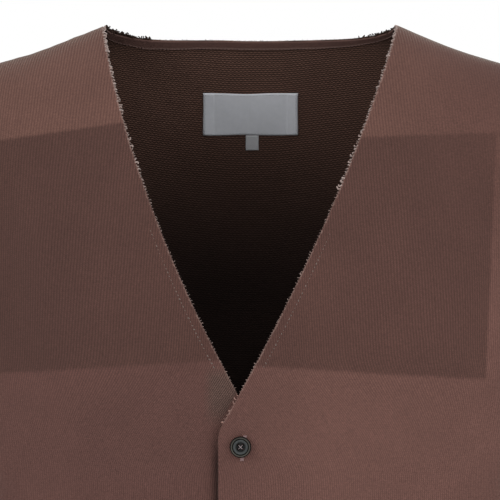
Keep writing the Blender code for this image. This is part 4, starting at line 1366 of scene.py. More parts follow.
# how strongly the rows show, less the deeper they are, and the height that keeps its tone
ROW_CONTRAST, ROW_LEVEL = (-1.15, 1.85), 0.36
INNER_CLOUD, INNER_BUMP = (0.24, 0.88), 0.00030
INNER_NAP = {"Sheen Weight": 0.04, "Sheen Tint": (0.5, 0.42, 0.38, 1.0), "Specular IOR Level": 0.12}


def cloth_inside(name, sag=0.0):
    """The jersey's inner face. sag is the slope of its rows towards the middle of the piece."""
    mat = Finish(name, roughness=0.95)
    u, v = stitch_map(mat)
    away = mat.math("SQRT", mat.fit(u, u, SAG_ROUND**2))
    height = purl_height(mat, u, mat.fit(away, -sag, v))
    heather = mat.fit(mat.noise(640.0, 3.0, 0.65, seed=4.0), *HEATHER)
    cloud = mat.fit(mat.noise(17.0, seed=6.0), *INNER_CLOUD)
    depth = mat.ramp(mat.parts(mat.place())[2], *DEEP_HEIGHTS)
    lit = mat.fit(mat.minus(height, ROW_LEVEL), mat.fit(depth, *ROW_CONTRAST), 1.0)
    shade = mat.times(mat.times(heather, cloud), lit)
    # painted shade: the inside's colour darkens towards the bottom of the hollow
    colour = mat.scaled(mat.mix(depth, INSIDE, INSIDE_PAINTED_SHADE), shade)
    mat.look({"Base Color": colour, **INNER_NAP})
    mat.bump(height, INNER_BUMP, 0.7)
    return mat.material


inside_face = cloth_inside("knit_inside")
back_inside = cloth_inside("knit_inside_back", sag=SAG)
print("inner faces ready")

# %% Finishes on the five cloth pieces
cloth_pieces = (*fronts.values(), back, *sleeves.values())
for piece in cloth_pieces:
    piece.data.materials.append(front_face if piece in fronts.values() else plain_face)
    piece.data.materials.append(back_inside if piece == back else inside_face)
print("knit finishes on", len(cloth_pieces), "pieces")

# %% [markdown]
# ## The back neck tape
# A narrow tape covers the seam inside the back neck of a good knit. Its points are taken from the
# neck edge, moved down along the cloth and laid on its inner side. A bent ribbon curve would
# twist where the neck turns.

# %% Laid on the inner side
LAID_GAP = 0.0004


def laid_inside(points, wall):
    """A thin piece on the back's inner side: the faces away from the cloth and towards it."""
    aim = normals(points)
    base = creased(points) - WALL / 2 - LAID_GAP
    return points + aim * (base - wall)[..., None], points + aim * base[..., None], aim


def flat_map(width, height, shape):
    """A map in metres over a small rectangular piece."""
    u, v = np.meshgrid(np.linspace(0, width, shape[1]), np.linspace(0, height, shape[0]))
    return np.stack([u, v], axis=-1)


print("laid pieces lie", LAID_GAP, "off the cloth")

# %% The tape's line along the neck
# the tape ends this far from the shoulder seams; the fall is measured this many rows down
TAPE_ENDS, FALL_ROW, TAPE_POINTS = 0.0012, -4, 161

on_neck = np.abs(back_sides["grid"][-1, :, 0]) < NECK_HALF_WIDTH - TAPE_ENDS
neck_edge = back_sides["grid"][-1, on_neck]
neck_fall = unit(back_sides["grid"][FALL_ROW, on_neck] - neck_edge)


def read_along(line, wanted, values):
    """Values that belong to a line's points, read at the x of other points."""
    return np.stack([np.interp(wanted[:, 0], line[:, 0], values[:, k]) for k in range(3)], 1)


tape_line = evenly(neck_edge, TAPE_POINTS)
tape_fall = read_along(neck_edge, tape_line, neck_fall)
tape_length = float(run_length(tape_line[None], 1)[0, -1])
print("tape", round(tape_length, 4), "m long")

# %% Tape
TAPE_WALL, TAPE_ROUND = 0.0008, 0.0007
# its upper edge lies just under the neck edge; lines from there to its lower edge
TAPE_TOP, TAPE_LINES = 0.02, 15
# x along the neck and the tape's height there, because its lower edge hangs level
TAPE_HEIGHTS = np.array([(-0.108, 0.0160), (-0.092, 0.0108), (-0.070, 0.0080), (-0.040, 0.0067),
                         (0.084, 0.0067), (0.100, 0.0082), (0.108, 0.0104)])

tape_height = np.interp(tape_line[:, 0], TAPE_HEIGHTS[:, 0], TAPE_HEIGHTS[:, 1])
drops = np.linspace(TAPE_TOP, 1.0, TAPE_LINES)[:, None] * tape_height[None]
tape_points = onto_form(tape_line[None] + tape_fall[None] * drops[..., None], 2)
tape_wall = TAPE_WALL * rounded(np.minimum(drops - drops[:1], drops[-1:] - drops), TAPE_ROUND)
tape_front, tape_rear, tape_aim = laid_inside(tape_points, tape_wall)
tape_map = np.stack([run_length(tape_line[None], 1) + 0 * drops, drops[-1:] - drops], axis=-1)
tape = cloth_mesh("neck_tape", tape_front, tape_rear, tape_map)
tape_cells = np.cross(np.diff(tape_points, axis=0)[:, 1:], np.diff(tape_points, axis=1)[1:])
tape_area = float(np.linalg.norm(tape_cells, axis=-1).sum())
print("tape area", round(tape_area, 5), "m2")

# %% Twill
# the tape's tone, the paler line near its lower edge, and where that line is
TWILL, TWILL_LIGHT = (0.062, 0.030, 0.024), (0.098, 0.058, 0.048)
TWILL_LINE, TWILL_SOFT = (0.0006, 0.0014), 0.0003
TWILL_THREAD, TWILL_SLANT = 0.0009, 1.0
# a weft thread's share of a twill thread, and its height
WEFT_SHARE, WEFT_HEIGHT = 0.8, 0.25
TWILL_FIBRES, TWILL_LIT = (0.80, 0.60), (0.16, 0.92)


def twill(name):
    """A narrow fabric: fine diagonal threads, and a paler line near one edge."""
    mat = Finish(name, roughness=0.8)
    u, v = mat.cloth_map()
    slant = mat.math("DIVIDE", mat.fit(v, TWILL_SLANT, u), TWILL_THREAD)
    ridge = mat.fit(mat.wave(slant), 0.5, 0.5)
    height = mat.fit(mat.wave(v, TWILL_THREAD * WEFT_SHARE), WEFT_HEIGHT, ridge)
    fibres = mat.fit(mat.noise(700.0, 3.0, 0.65, seed=8.0), *TWILL_FIBRES)
    shade = mat.times(fibres, mat.fit(height, *TWILL_LIT))
    low, high = TWILL_LINE
    lit = mat.times(mat.ramp(v, low - TWILL_SOFT, low), mat.ramp(v, high + TWILL_SOFT, high))
    colour = mat.scaled(mat.mix(lit, TWILL, TWILL_LIGHT), shade)
    mat.look({"Base Color": colour, "Specular IOR Level": 0.25})
    mat.bump(height, 0.00012, 0.7)
    return mat.material


tape_twill = twill("tape_twill")
for _ in range(2):
    tape.data.materials.append(tape_twill)
print("twill threads", TWILL_THREAD, "m apart")

# %% [markdown]
# ## Label and tab
# A blank woven label is sewn inside the back neck, with a small plain tab below it. Both are thin
# cloth laid on the back: their points are found by walking out from inside to the back panel. The
# label's ends are turned under, so they are thicker, and a painted highlight makes them lighter.

# %% A small rectangle of cloth inside the back
# how soft the step of a turned end is, how much thicker it is, and the round of the rim
END_STEP, END_THICK, LAID_ROUND = 0.0004, 0.7, 0.0005


def back_patch(name, x_range, z_range, counts, wall, ends=0.0, wave=0.0):
    """A rectangle laid inside the back. ends is how far its ends are turned under."""
    s, t = np.meshgrid(np.linspace(0, 1, counts[0]), np.linspace(0, 1, counts[1]))
    width, height = x_range[1] - x_range[0], z_range[1] - z_range[0]
    x = x_range[0] + width * s + wave * (np.sin(5 * t + 1) * (2 * s - 1) ** 3)
    ripple = np.sin(3.4 * s * math.pi) - 1.6 * np.sin(math.pi * s)
    z = z_range[0] + height * t + wave * ripple * (2 * t - 1)
    flat_x, flat_z = x.ravel(), z.ravel()
    points = walk_out(lambda r: points_at(flat_x, r, flat_z), len(flat_x))
    points = points.reshape(*x.shape, 3)
    from_end = np.minimum(s, 1 - s) * width
    rim = np.minimum(from_end, np.minimum(t, 1 - t) * height)
    turned = 1.0 - smooth_step(ends - END_STEP, ends + END_STEP, from_end) if ends else 0 * s
    thick = wall * (1 + END_THICK * turned) * rounded(rim, LAID_ROUND)
    front, rear, _ = laid_inside(points, thick)
    return cloth_mesh(name, front, rear, flat_map(width, height, x.shape)), front


print("patch helper ready")

# %% Label and tab
LABEL_X, LABEL_Z = (-0.0360, 0.0368), (-0.0770, -0.0450)
LABEL_WALL, LABEL_ENDS, LABEL_WAVE = 0.00055, 0.0085, 0.00018
TAB_X, TAB_Z, TAB_WALL = (-0.0034, 0.0068), (-0.0884, -0.0769), 0.00075

label, label_front = back_patch("label", LABEL_X, LABEL_Z, (91, 45), LABEL_WALL, LABEL_ENDS, LABEL_WAVE)
tab, _ = back_patch("label_tab", TAB_X, TAB_Z, (25, 27), TAB_WALL)
print("label", round(LABEL_X[1] - LABEL_X[0], 4), "by", round(LABEL_Z[1] - LABEL_Z[0], 4), "m")

# %% Smooth weave of the label and tab
LABEL_GREY, TAB_GREY = (0.430, 0.438, 0.467), (0.325, 0.325, 0.338)
WARP, WEFT = 0.00062, 0.00048
# how much each shows: uneven threads, the painted highlight on the turned ends, and the threads' own height
SLUB, END_LIGHT, THREAD_LIGHT, END_SOFT = (0.14, 0.93), (0.05, 0.99), (0.03, 1.0), 0.0003


def label_weave(name, colour, width, ends):
    """Smooth woven cloth; a painted highlight makes its turned ends a little lighter."""
    mat = Finish(name, roughness=0.62)
    u, v = mat.cloth_map()
    height = mat.times(mat.wave(u, WARP), mat.wave(v, WEFT))
    nearest = mat.math("MINIMUM", u, mat.minus(width, u))
    end = mat.ramp(nearest, ends + END_SOFT, ends - END_SOFT)
    slub = mat.fit(mat.noise(260.0, 3.0, 0.6, seed=11.0), *SLUB)
    shade = mat.times(slub, mat.fit(end, *END_LIGHT))
    shade = mat.times(shade, mat.fit(height, *THREAD_LIGHT))
    mat.look({"Base Color": mat.scaled(colour, shade), "Sheen Weight": 0.15})
    mat.bump(height, 0.00005, 0.5)
    return mat.material


label_cloth = label_weave("label_satin", LABEL_GREY, LABEL_X[1] - LABEL_X[0], LABEL_ENDS)
tab_cloth = label_weave("tab_satin", TAB_GREY, TAB_X[1] - TAB_X[0], 0.0)
for piece, cloth in ((label, label_cloth), (tab, tab_cloth)) * 2:
    piece.data.materials.append(cloth)
print("woven finishes ready")

# %% [markdown]
# ## Buttons
# Each button is turned like a small bowl: a round rim, a groove, a dished middle, and four holes.
# A lathe in code with the holes cut by a boolean gives the true shape. The five are copies of
# one mesh, set level with the over front. Polished horn is dark, with soft streaks and a gloss.

# %% A lathe
def turned(profile, sides):
    """A closed lathe shape from a profile whose ends are on the axis."""
    work = bmesh.new()
    ends = [work.verts.new((0, 0, profile[0][1])), work.verts.new((0, 0, profile[-1][1]))]
    rings = []
    for r, z in profile[1:-1]:
        spots = [2 * math.pi * k / sides for k in range(sides)]
        rings.append([work.verts.new((r * math.cos(a), r * math.sin(a), z)) for a in spots])
    for k in range(sides):
        n = (k + 1) % sides
        work.faces.new((ends[0], rings[0][n], rings[0][k]))
        work.faces.new((ends[1], rings[-1][k], rings[-1][n]))
        for low, high in zip(rings, rings[1:]):
            work.faces.new((low[k], low[n], high[n], high[k]))
    return kept_mesh("turned", work)


def kept_mesh(name, work):
    """A mesh from a bmesh, with its faces turned outwards."""
    bmesh.ops.recalc_face_normals(work, faces=work.faces)
    mesh = bpy.data.meshes.new(name)
    work.to_mesh(mesh)
    work.free()
    return mesh


print("lathe ready")

# %% One turned button
BUTTON_RADIUS, BUTTON_HEIGHT, BUTTON_SIDES = 0.0075, 0.0034, 56
HOLE_RADIUS, HOLE_OFFSET, HOLE_SIDES, DRILL_LENGTH = 0.00088, 0.00140, 16, 0.02
# radius and height, as shares
BUTTON_PROFILE = ((0.0, 0.0), (0.80, 0.0), (0.92, 0.08), (0.98, 0.26), (1.0, 0.48), (0.985, 0.72),
                  (0.95, 0.90), (0.90, 0.99), (0.85, 0.98), (0.80, 0.90), (0.765, 0.70), (0.74, 0.64),
                  (0.715, 0.70), (0.68, 0.79), (0.58, 0.78), (0.48, 0.68), (0.34, 0.58), (0.0, 0.56))

profile = [(r * BUTTON_RADIUS, z * BUTTON_HEIGHT) for r, z in BUTTON_PROFILE]
blank = linked("button_blank", turned(profile, BUTTON_SIDES))
drill = bmesh.new()
for sx, sy in ((-1, -1), (1, -1), (1, 1), (-1, 1)):
    made = bmesh.ops.create_cone(drill, cap_ends=True, segments=HOLE_SIDES, radius1=HOLE_RADIUS,
                                 radius2=HOLE_RADIUS, depth=DRILL_LENGTH)
    bmesh.ops.translate(drill, verts=made["verts"], vec=(sx * HOLE_OFFSET, sy * HOLE_OFFSET, 0))
cutter = linked("button_cutter", kept_mesh("button_drill", drill))
cut = blank.modifiers.new("holes", "BOOLEAN")
cut.operation = "DIFFERENCE"
cut.solver = "EXACT"
cut.object = cutter
bpy.context.view_layer.update()
graph = bpy.context.evaluated_depsgraph_get()
button_mesh = bpy.data.meshes.new_from_object(blank.evaluated_get(graph))
for made in (blank, cutter):
    bpy.data.objects.remove(made)
print("button", len(button_mesh.polygons), "faces")

# %% Polished horn
# from the middle out: dish, ring, groove, a painted highlight on the rim's inner slope, and the side, each
# with where it starts and is full
HORN_DISH = (0.008, 0.008, 0.008)
HORN_RINGS = ((0.40, 0.58, (0.043, 0.046, 0.046)), (0.66, 0.72, (0.004, 0.005, 0.004)),
              (0.76, 0.82, (0.048, 0.044, 0.037)), (0.87, 0.92, (0.004, 0.003, 0.003)))
# streaks run along the horn, and fine scratches change its gloss
STREAK, SCRATCH = (1.3, 0.35), (0.22, 0.22)
STREAK_TURN, STREAK_STRETCH = (0.2, 0.5, 0.4), (1.0, 1.0, 0.25)


def horn(name):
    """Dark polished horn with soft streaks and a painted highlight ring."""
    mat = Finish(name, roughness=0.30)
    stretched = mat.node("ShaderNodeMapping", {"Vector": mat.place(), "Rotation": STREAK_TURN,
                                                  "Scale": STREAK_STRETCH})
    streak = mat.noise(520.0, 4.0, 0.6, vector=stretched.outputs[0])
    ring = mat.node("ShaderNodeAttribute", attribute_name="ring").outputs["Fac"]
    colour = HORN_DISH
    # the third ring is a painted highlight on the rim's inner slope
    for low, high, tone in HORN_RINGS:
        colour = mat.mix(mat.ramp(ring, low, high), colour, tone)
    mat.look({"Base Color": mat.scaled(colour, mat.fit(streak, *STREAK)),
                 "Roughness": mat.fit(mat.noise(2600.0), *SCRATCH), "Specular IOR Level": 0.06})
    mat.bump(streak, 0.00004, 0.4)
    return mat.material


horn_look = horn("dark_horn")
print("horn has", len(HORN_RINGS), "turned rings")

# %% Seats on the over front
BUTTON_COUNT, BUTTON_X, BUTTON_TOP_Z, BUTTON_SPACING = 5, -0.0066, -0.3025, 0.0815


def over_front(x, z, proud):
    """Points on the over front's outer side at x and z, and the way out there."""
    place = walk_out(lambda r: points_at(x, -r, z), len(x))
    aim = normals(place)
    return place + aim * (OVERLAP_LIFT + WALL / 2 + proud + creased(place))[:, None], aim


seats = []
for k in range(BUTTON_COUNT):
    z = BUTTON_TOP_Z - k * BUTTON_SPACING
    place, out = over_front(np.array([BUTTON_X]), np.array([z]), LAID_GAP)
    across = unit(np.cross(np.array([0.0, 0.0, 1.0]), out[0]))
    seats.append((place[0], np.array([across, np.cross(out[0], across), out[0]])))
print("button seats from z", BUTTON_TOP_Z, "to", round(z, 4))

# %% Five buttons
buttons = []
for k, (seat, turn) in enumerate(seats):
    mesh = button_mesh.copy()
    flat = np.array([v.co[:] for v in mesh.vertices])
    mesh.vertices.foreach_set("co", (flat @ turn + seat).ravel())
    ring = mesh.attributes.new("ring", "FLOAT", "POINT")
    ring.data.foreach_set("value", np.hypot(flat[:, 0], flat[:, 1]) / BUTTON_RADIUS)
    mesh.materials.clear()
    mesh.materials.append(horn_look)
    mesh.shade_smooth()
    mesh.update()
    buttons.append(linked(f"horn_button_{k + 1}", mesh))
print(len(buttons), "buttons")

# %% [markdown]
# ## Threads, stitches and the cut edge
# What is left is thread. Stitches and loops repeat along a line, so Geometry Nodes lay them: one
# tree for stitches, one for the loops of a cut edge. Each tree ends in Realize Instances, because
# the export drops instances.


# %% A line for stitches to follow
def line_mesh(name, points, aims):
    """A line of points that remembers which way is up for the thread."""
    mesh = bpy.data.meshes.new(name)
    mesh.from_pydata([tuple(p) for p in points], [(k, k + 1) for k in range(len(points) - 1)], [])
    layer = mesh.attributes.new("aim", "FLOAT_VECTOR", "POINT")
    layer.data.foreach_set("vector", np.asarray(aims, float).ravel())
    return mesh


print("line helper ready")


# %% One tree of Geometry Nodes
class Tree(Nodes):
    """A Geometry Nodes tree with named inputs that lays threads along a line."""

    def __init__(self, name, sizes):
        super().__init__(bpy.data.node_groups.new(name, "GeometryNodeTree"))
        face = self.tree.interface
        face.new_socket("Line", in_out="INPUT", socket_type="NodeSocketGeometry")
        self.sockets = {}
        for key, value in sizes.items():
            whole = isinstance(value, int)
            made = face.new_socket(key, in_out="INPUT",
                                   socket_type="NodeSocketInt" if whole else "NodeSocketFloat")
            made.default_value = value
            self.sockets[key] = made.identifier
        thread = face.new_socket("Thread", in_out="INPUT", socket_type="NodeSocketMaterial")
        self.sockets["Thread"] = thread.identifier
        face.new_socket("Threads", in_out="OUTPUT", socket_type="NodeSocketGeometry")
        self.given = self.node("NodeGroupInput")
        self.end = self.node("NodeGroupOutput")

    def vector(self, x=0.0, y=0.0, z=0.0):
        return self.node("ShaderNodeCombineXYZ", {0: x, 1: y, 2: z}).outputs[0]

    def threaded(self, curve, radius, sides=4):
        """A thread of this radius along a curve."""
        ring = self.node("GeometryNodeCurvePrimitiveCircle", {"Resolution": sides, "Radius": radius})
        return self.node("GeometryNodeCurveToMesh", {"Curve": curve, "Profile Curve": ring.outputs[0],
                                                     "Fill Caps": True}).outputs[0]

    def along_line(self):
        """The line's evenly spaced points, and a rotation with z along the aim."""
        curve = self.node("GeometryNodeMeshToCurve", {0: self.given.outputs["Line"]}).outputs[0]
        even = self.node("GeometryNodeResampleCurve",
                         {"Curve": curve, "Length": self.given.outputs["Pitch"]}, mode="LENGTH")
        aim = self.node("GeometryNodeInputNamedAttribute", {"Name": "aim"}, data_type="FLOAT_VECTOR")
        tangent = self.node("GeometryNodeInputTangent")
        turn = self.node("FunctionNodeAxesToRotation", {0: aim.outputs[0], 1: tangent.outputs[0]},
                         primary_axis="Z", secondary_axis="X")
        return even.outputs[0], turn.outputs[0]

    def spun(self, turn, x=0.0, y=0.0, z=0.0):
        """A rotation, turned further by these angles."""
        spin = self.node("FunctionNodeEulerToRotation", {0: self.vector(x, y, z)})
        return self.node("FunctionNodeRotateRotation", {0: turn, 1: spin.outputs[0]},
                         rotation_space="LOCAL").outputs[0]

    def bent(self, start, middle, end, resolution):
        """A short bent line."""
        return self.node("GeometryNodeCurveQuadraticBezier",
                         {"Resolution": resolution, "Start": start, "Middle": middle, "End": end}).outputs[0]

    def chance(self, low, high, seed, kind="FLOAT"):
        """A random value for each point, fixed by the seed."""
        made = self.node("FunctionNodeRandomValue", data_type=kind)
        live = [s for s in made.inputs if s.enabled]
        for socket, value in zip(live, (low, high)):
            socket.default_value = value
        self.tree.links.new(seed, made.inputs["Seed"])
        return [s for s in made.outputs if s.enabled][0]

    def finish(self, instances):
        real = self.node("GeometryNodeRealizeInstances", {0: instances}).outputs[0]
        dyed = self.node("GeometryNodeSetMaterial", {0: real, "Material": self.given.outputs["Thread"]})
        self.tree.links.new(dyed.outputs[0], self.end.inputs[0])


print("tree helper ready")

# %% The stitch tree
stitches = Tree("stitch_row", dict(Pitch=0.003, Length=0.0022, Radius=0.0002, Rise=0.0004, Turn=0.0,
                                   Uneven=0.12, Seed=1))
given = stitches.given.outputs
half_length = stitches.times(given["Length"], 0.5)
arch = stitches.bent(stitches.vector(x=stitches.times(half_length, -1.0)), stitches.vector(z=given["Rise"]),
                     stitches.vector(x=half_length), 4)
stitch = stitches.threaded(arch, given["Radius"])
even, turn = stitches.along_line()
wobble = stitches.fit(stitches.chance(-1.0, 1.0, given["Seed"]), given["Uneven"], given["Turn"])
next_seed = stitches.plus(given["Seed"], 17.0)
size = stitches.fit(stitches.chance(-1.0, 1.0, next_seed), given["Uneven"], 1.0)
laid = stitches.node("GeometryNodeInstanceOnPoints",
                     {"Points": even, "Instance": stitch, "Rotation": stitches.spun(turn, z=wobble),
                      "Scale": stitches.vector(size, size, size)})
stitches.finish(laid.outputs[0])
print("stitch tree", len(stitches.tree.nodes), "nodes")

# %% The cut-edge tree
# three kinds of loop, each by its start, middle and end as shares of the loop's size
LOOP_KINDS = (((-0.3, 0, -0.3), (0.1, 0.35, 1.9), (0.35, 0, -0.3)),
              ((0, 0, -0.4), (0.5, 0.2, 0.6), (-0.4, 0.5, 1.0)),
              ((0.1, 0, -0.4), (-0.7, -0.3, 1.2), (0.5, -0.2, 0.7)))
LOOP_SIZES, LOOP_TURN = (0.45, 1.25), 3.1

cut_edge = Tree("cut_edge", dict(Pitch=0.0018, Size=0.0014, Radius=0.00011, Lean=0.5, Seed=1))
given = cut_edge.given.outputs
kinds = cut_edge.node("GeometryNodeJoinGeometry")
for shape in LOOP_KINDS:
    spots = [cut_edge.vector(*(cut_edge.times(given["Size"], float(v)) for v in spot)) for spot in shape]
    loop = cut_edge.threaded(cut_edge.bent(*spots, 5), given["Radius"], 3)
    one = cut_edge.node("GeometryNodeGeometryToInstance", {0: loop})
    cut_edge.tree.links.new(one.outputs[0], kinds.inputs[0])
even, turn = cut_edge.along_line()
seeds = [cut_edge.plus(given["Seed"], 13.0 * k) for k in range(5)]
tilt = [cut_edge.times(cut_edge.chance(-1.0, 1.0, seed), given["Lean"]) for seed in seeds[:2]]
leaning = cut_edge.spun(turn, *tilt, cut_edge.chance(-LOOP_TURN, LOOP_TURN, seeds[2]))
size = cut_edge.chance(*LOOP_SIZES, seeds[3])
pick = cut_edge.chance(0, len(LOOP_KINDS) - 1, seeds[4], "INT")
laid = cut_edge.node("GeometryNodeInstanceOnPoints",
                     {"Points": even, "Instance": kinds.outputs[0], "Pick Instance": True,
                      "Instance Index": pick, "Rotation": leaning,
                      "Scale": cut_edge.vector(size, size, size)})
cut_edge.finish(laid.outputs[0])
print("cut edge tree", len(cut_edge.tree.nodes), "nodes")


# %% Growing a row from a line
# each line of a piece has its own seed, this far from the last
SEED_STEP = 31


def grown(name, lines, tree, thread, **sizes):
    """Threads laid by a tree along one or more lines, as a plain mesh."""
    meshes = []
    for k, (points, aims) in enumerate(lines):
        holder = linked("line", line_mesh("line", points, aims))
        modifier = holder.modifiers.new("threads", "NODES")
        modifier.node_group = tree.tree
        for key, value in {**sizes, "Seed": sizes["Seed"] + SEED_STEP * k, "Thread": thread}.items():
            modifier[tree.sockets[key]] = value
        bpy.context.view_layer.update()
        graph = bpy.context.evaluated_depsgraph_get()
        meshes.append(bpy.data.meshes.new_from_object(holder.evaluated_get(graph)))
        bpy.data.objects.remove(holder)
    work = bmesh.new()
    for mesh in meshes:
        work.from_mesh(mesh)
        bpy.data.meshes.remove(mesh)
    mesh = bpy.data.meshes.new(name)
    work.to_mesh(mesh)
    work.free()
    mesh.materials.append(thread)
    for face in mesh.polygons:
        face.material_index = 0
        face.use_smooth = True
    print(name, len(mesh.polygons), "faces")
    return linked(name, mesh)


print("growing helper ready")


# %% Thread colours
def thread_look(name, colour, spread=0.35, sheen=0.2, gloss=0.5):
    """Spun thread: uneven along its length, soft and dull."""
    mat = Finish(name, roughness=0.85)
    shade = mat.fit(mat.noise(1300.0, 2.0, 0.6, seed=12.0), 2 * spread, 1.0 - spread)
    mat.look({"Base Color": mat.scaled(colour, shade), "Sheen Weight": sheen,
                 "Specular IOR Level": gloss})
    mat.bump(mat.noise(4200.0, 1.0, seed=2.0), 0.00003, 0.6)
    return mat.material


pale_thread = thread_look("pale_thread", (0.260, 0.190, 0.168), 0.45)
edge_thread = thread_look("edge_thread", (0.210, 0.140, 0.118), 0.45)
foot_thread = thread_look("foot_thread", (0.260, 0.140, 0.108), 0.45)
faint_thread = thread_look("faint_thread", (0.112, 0.078, 0.064), 0.45)
dyed_thread = thread_look("dyed_thread", (0.150, 0.082, 0.070))
dark_thread = thread_look("dark_thread", (0.030, 0.018, 0.014), sheen=0.0, gloss=0.05)
mauve_thread = thread_look("mauve_thread", (0.230, 0.140, 0.138))
cross_thread = thread_look("cross_thread", (0.200, 0.160, 0.162))
grey_thread = thread_look("grey_thread", (0.300, 0.300, 0.310))
print("nine threads dyed")

# %% [markdown]
# ## The raw-cut edges
# Jersey that is cut and not hemmed shows the ends of its loops. Along the V they are small and
# pale, larger and looser near the shoulders and redder at its foot, with a faint row of stitches
# just inside. Along the back neck they are dark, with a few frayed places. The lines that they
# follow are read from the cloth's own free edges, so no loop floats.

# %% The lines along the V
# where each edge stops being cut raw, where its loops grow larger, and where its foot starts
V_FOOT = {1: -0.286, -1: -0.266}
LOOSE_ABOVE, LOOSE_IN, FOOT_BELOW = -0.125, 0.0002, -0.262
# the loops stand nearer to the outer side, and lean away from this column
OUTER_SHARE, EDGE_COLUMN = 0.75, 2


def between(sides, column):
    """Points between a front's two sides, along one column."""
    return OUTER_SHARE * sides["outer"][:, column] + (1 - OUTER_SHARE) * sides["inner"][:, column]


edge_lines, foot_lines, loose_lines = [], [], []
for side, sides in front_sides.items():
    rim = between(sides, 0)
    out = unit(rim - between(sides, EDGE_COLUMN))
    heights = sides["grid"][:, 0, 2]
    on_v, loose = heights > V_FOOT[side], heights > LOOSE_ABOVE
    foot = on_v & (heights < FOOT_BELOW)
    edge_lines.append((rim[on_v & ~foot], out[on_v & ~foot]))
    foot_lines.append((rim[foot], out[foot]))
    loose_lines.append((rim[loose] - LOOSE_IN * out[loose], out[loose]))
print(sum(len(points) for points, _ in edge_lines), "points along the V")

# %% The row of stitches beside the V
DOTS_BETWEEN, DOTS_IN, DOTS_PROUD = (-0.250, -0.150), 0.0066, 0.00004


def beside(points, across, rows):
    """The points beside the edge, at the row of stitches."""
    return np.array([[np.interp(DOTS_IN, across[i], points[i, :, k]) for k in range(3)] for i in rows])


dot_lines = []
for sides in front_sides.values():
    across = run_length(sides["grid"], 1)
    rows = [i for i, z in enumerate(sides["grid"][:, 0, 2]) if DOTS_BETWEEN[0] < z < DOTS_BETWEEN[1]]
    aims = beside(sides["aim"], across, rows)
    dot_lines.append((beside(sides["outer"], across, rows) + DOTS_PROUD * aims, aims))
print("stitches", DOTS_IN, "in from the edge")

# %% Loops and stitches of the V
v_loops = grown("v_edge_loops", edge_lines, cut_edge, edge_thread, Pitch=0.0022, Size=0.0012,
                Radius=0.00021, Lean=0.7, Seed=3)
v_foot = grown("v_foot_loops", foot_lines, cut_edge, foot_thread, Pitch=0.0030, Size=0.0015,
               Radius=0.00026, Lean=0.9, Seed=6)
v_loose = grown("v_edge_loose_loops", loose_lines, cut_edge, pale_thread, Pitch=0.0027, Size=0.0019,
                Radius=0.00052, Lean=0.4, Seed=14)
v_dots = grown("v_edge_stitches", dot_lines, stitches, faint_thread, Pitch=0.0029, Length=0.0010,
               Radius=0.00022, Rise=0.00018, Turn=0.3, Uneven=0.5, Seed=5)

# %% The back neck, with its frayed places
# the x between which the edge is frayed; a stretch that is named twice has twice the threads
FRAYS = ((-0.108, -0.087), (-0.108, -0.087), (-0.0835, -0.0745), (-0.0835, -0.0745),
         (0.080, 0.104), (0.098, 0.107), (-0.109, -0.094))
NECK_POINTS = 161

neck_mid, neck_in = ((back_sides["outer"][row] + back_sides["inner"][row])[on_neck] / 2 for row in (-1, -4))
neck_spots = evenly(neck_mid, NECK_POINTS)
neck_aims = read_along(neck_mid, neck_spots, unit(neck_mid - neck_in))
neck_loops = grown("neck_edge_loops", [(neck_spots, neck_aims)], cut_edge, dark_thread, Pitch=0.0016,
                   Size=0.0006, Radius=0.00020, Lean=0.9, Seed=8)
fray_lines = []
for low, high in FRAYS:
    inside = (neck_spots[:, 0] > low) & (neck_spots[:, 0] < high)
    fray_lines.append((neck_spots[inside], neck_aims[inside]))
frays = grown("neck_edge_frays", fray_lines, cut_edge, dark_thread, Pitch=0.0011, Size=0.0020,
              Radius=0.00052, Lean=1.0, Seed=21)

# %% [markdown]
# ## Sewn stitches
# The hem and the cuffs are turned up and held by one row of stitches, the tape by one along its
# lower edge, and the label by one along each side. Each row is a line at a set distance from an
# edge, and the stitch tree lays the stitches along it.


# %% A line at a set distance from an edge
def level_line(sides, distance, wanted, proud=0.0001):
    """The line on a piece's outer side where a distance along its columns has one value."""
    spots, aims = [], []
    for j in range(distance.shape[1]):
        order = np.argsort(distance[:, j])
        for found, side in ((spots, sides["outer"]), (aims, sides["aim"])):
            found.append([np.interp(wanted, distance[order, j], side[order, j, k]) for k in range(3)])
    aims = unit(np.array(aims))
    return np.array(spots) + aims * proud, aims


hem_lines = []
for sides in (*front_sides.values(), back_sides):
    hem_lines.append(level_line(sides, run_length(sides["grid"], 0), HEM_SEWN_AT))
for sides in sleeve_sides.values():
    down = run_length(sides["grid"], 0)
    hem_lines.append(tuple(np.concatenate([part, part[:1]])
                           for part in level_line(sides, down[-1:] - down, HEM_SEWN_AT)))
print(len(hem_lines), "lines along the hem and the cuffs")

# %% Hem and cuff stitches
hem_stitches = grown("hem_stitches", hem_lines, stitches, dyed_thread, Pitch=0.0031, Length=0.0024,
                     Radius=0.00022, Rise=0.0004, Uneven=0.08, Seed=2)

# %% Tape and label stitches
TAPE_PROUD, LABEL_PROUD = 0.0001, 0.00005

tape_sewn = (tape_front[-2] - tape_aim[-2] * TAPE_PROUD, -tape_aim[-2])
tape_stitches = grown("tape_stitches", [tape_sewn], stitches, dyed_thread, Pitch=0.0027, Length=0.0019,
                      Radius=0.00016, Rise=0.0003, Uneven=0.1, Seed=4)
label_aim = -normals(label_front[2:3, 2:3])[0, 0]
label_lines = []
for side in (label_front[2, 2:-2], label_front[-3, 2:-2], label_front[2:-2, 2], label_front[2:-2, -3]):
    label_lines.append((side + label_aim * LABEL_PROUD, np.repeat(label_aim[None], len(side), 0)))
label_stitches = grown("label_stitches", label_lines, stitches, grey_thread, Pitch=0.0024, Length=0.0015,
                       Radius=0.00011, Rise=0.00016, Uneven=0.1, Seed=6)

# %% [markdown]
# ## Buttonholes and button threads
# A buttonhole is a slit whose two long sides and two ends are worked over with close stitches.
# Only its top and its foot show past the button. The stitches lie across the line, so the stitch
# tree turns each by a right angle. The thread in a button is a cross of two round strands, which
# dip into the four holes.

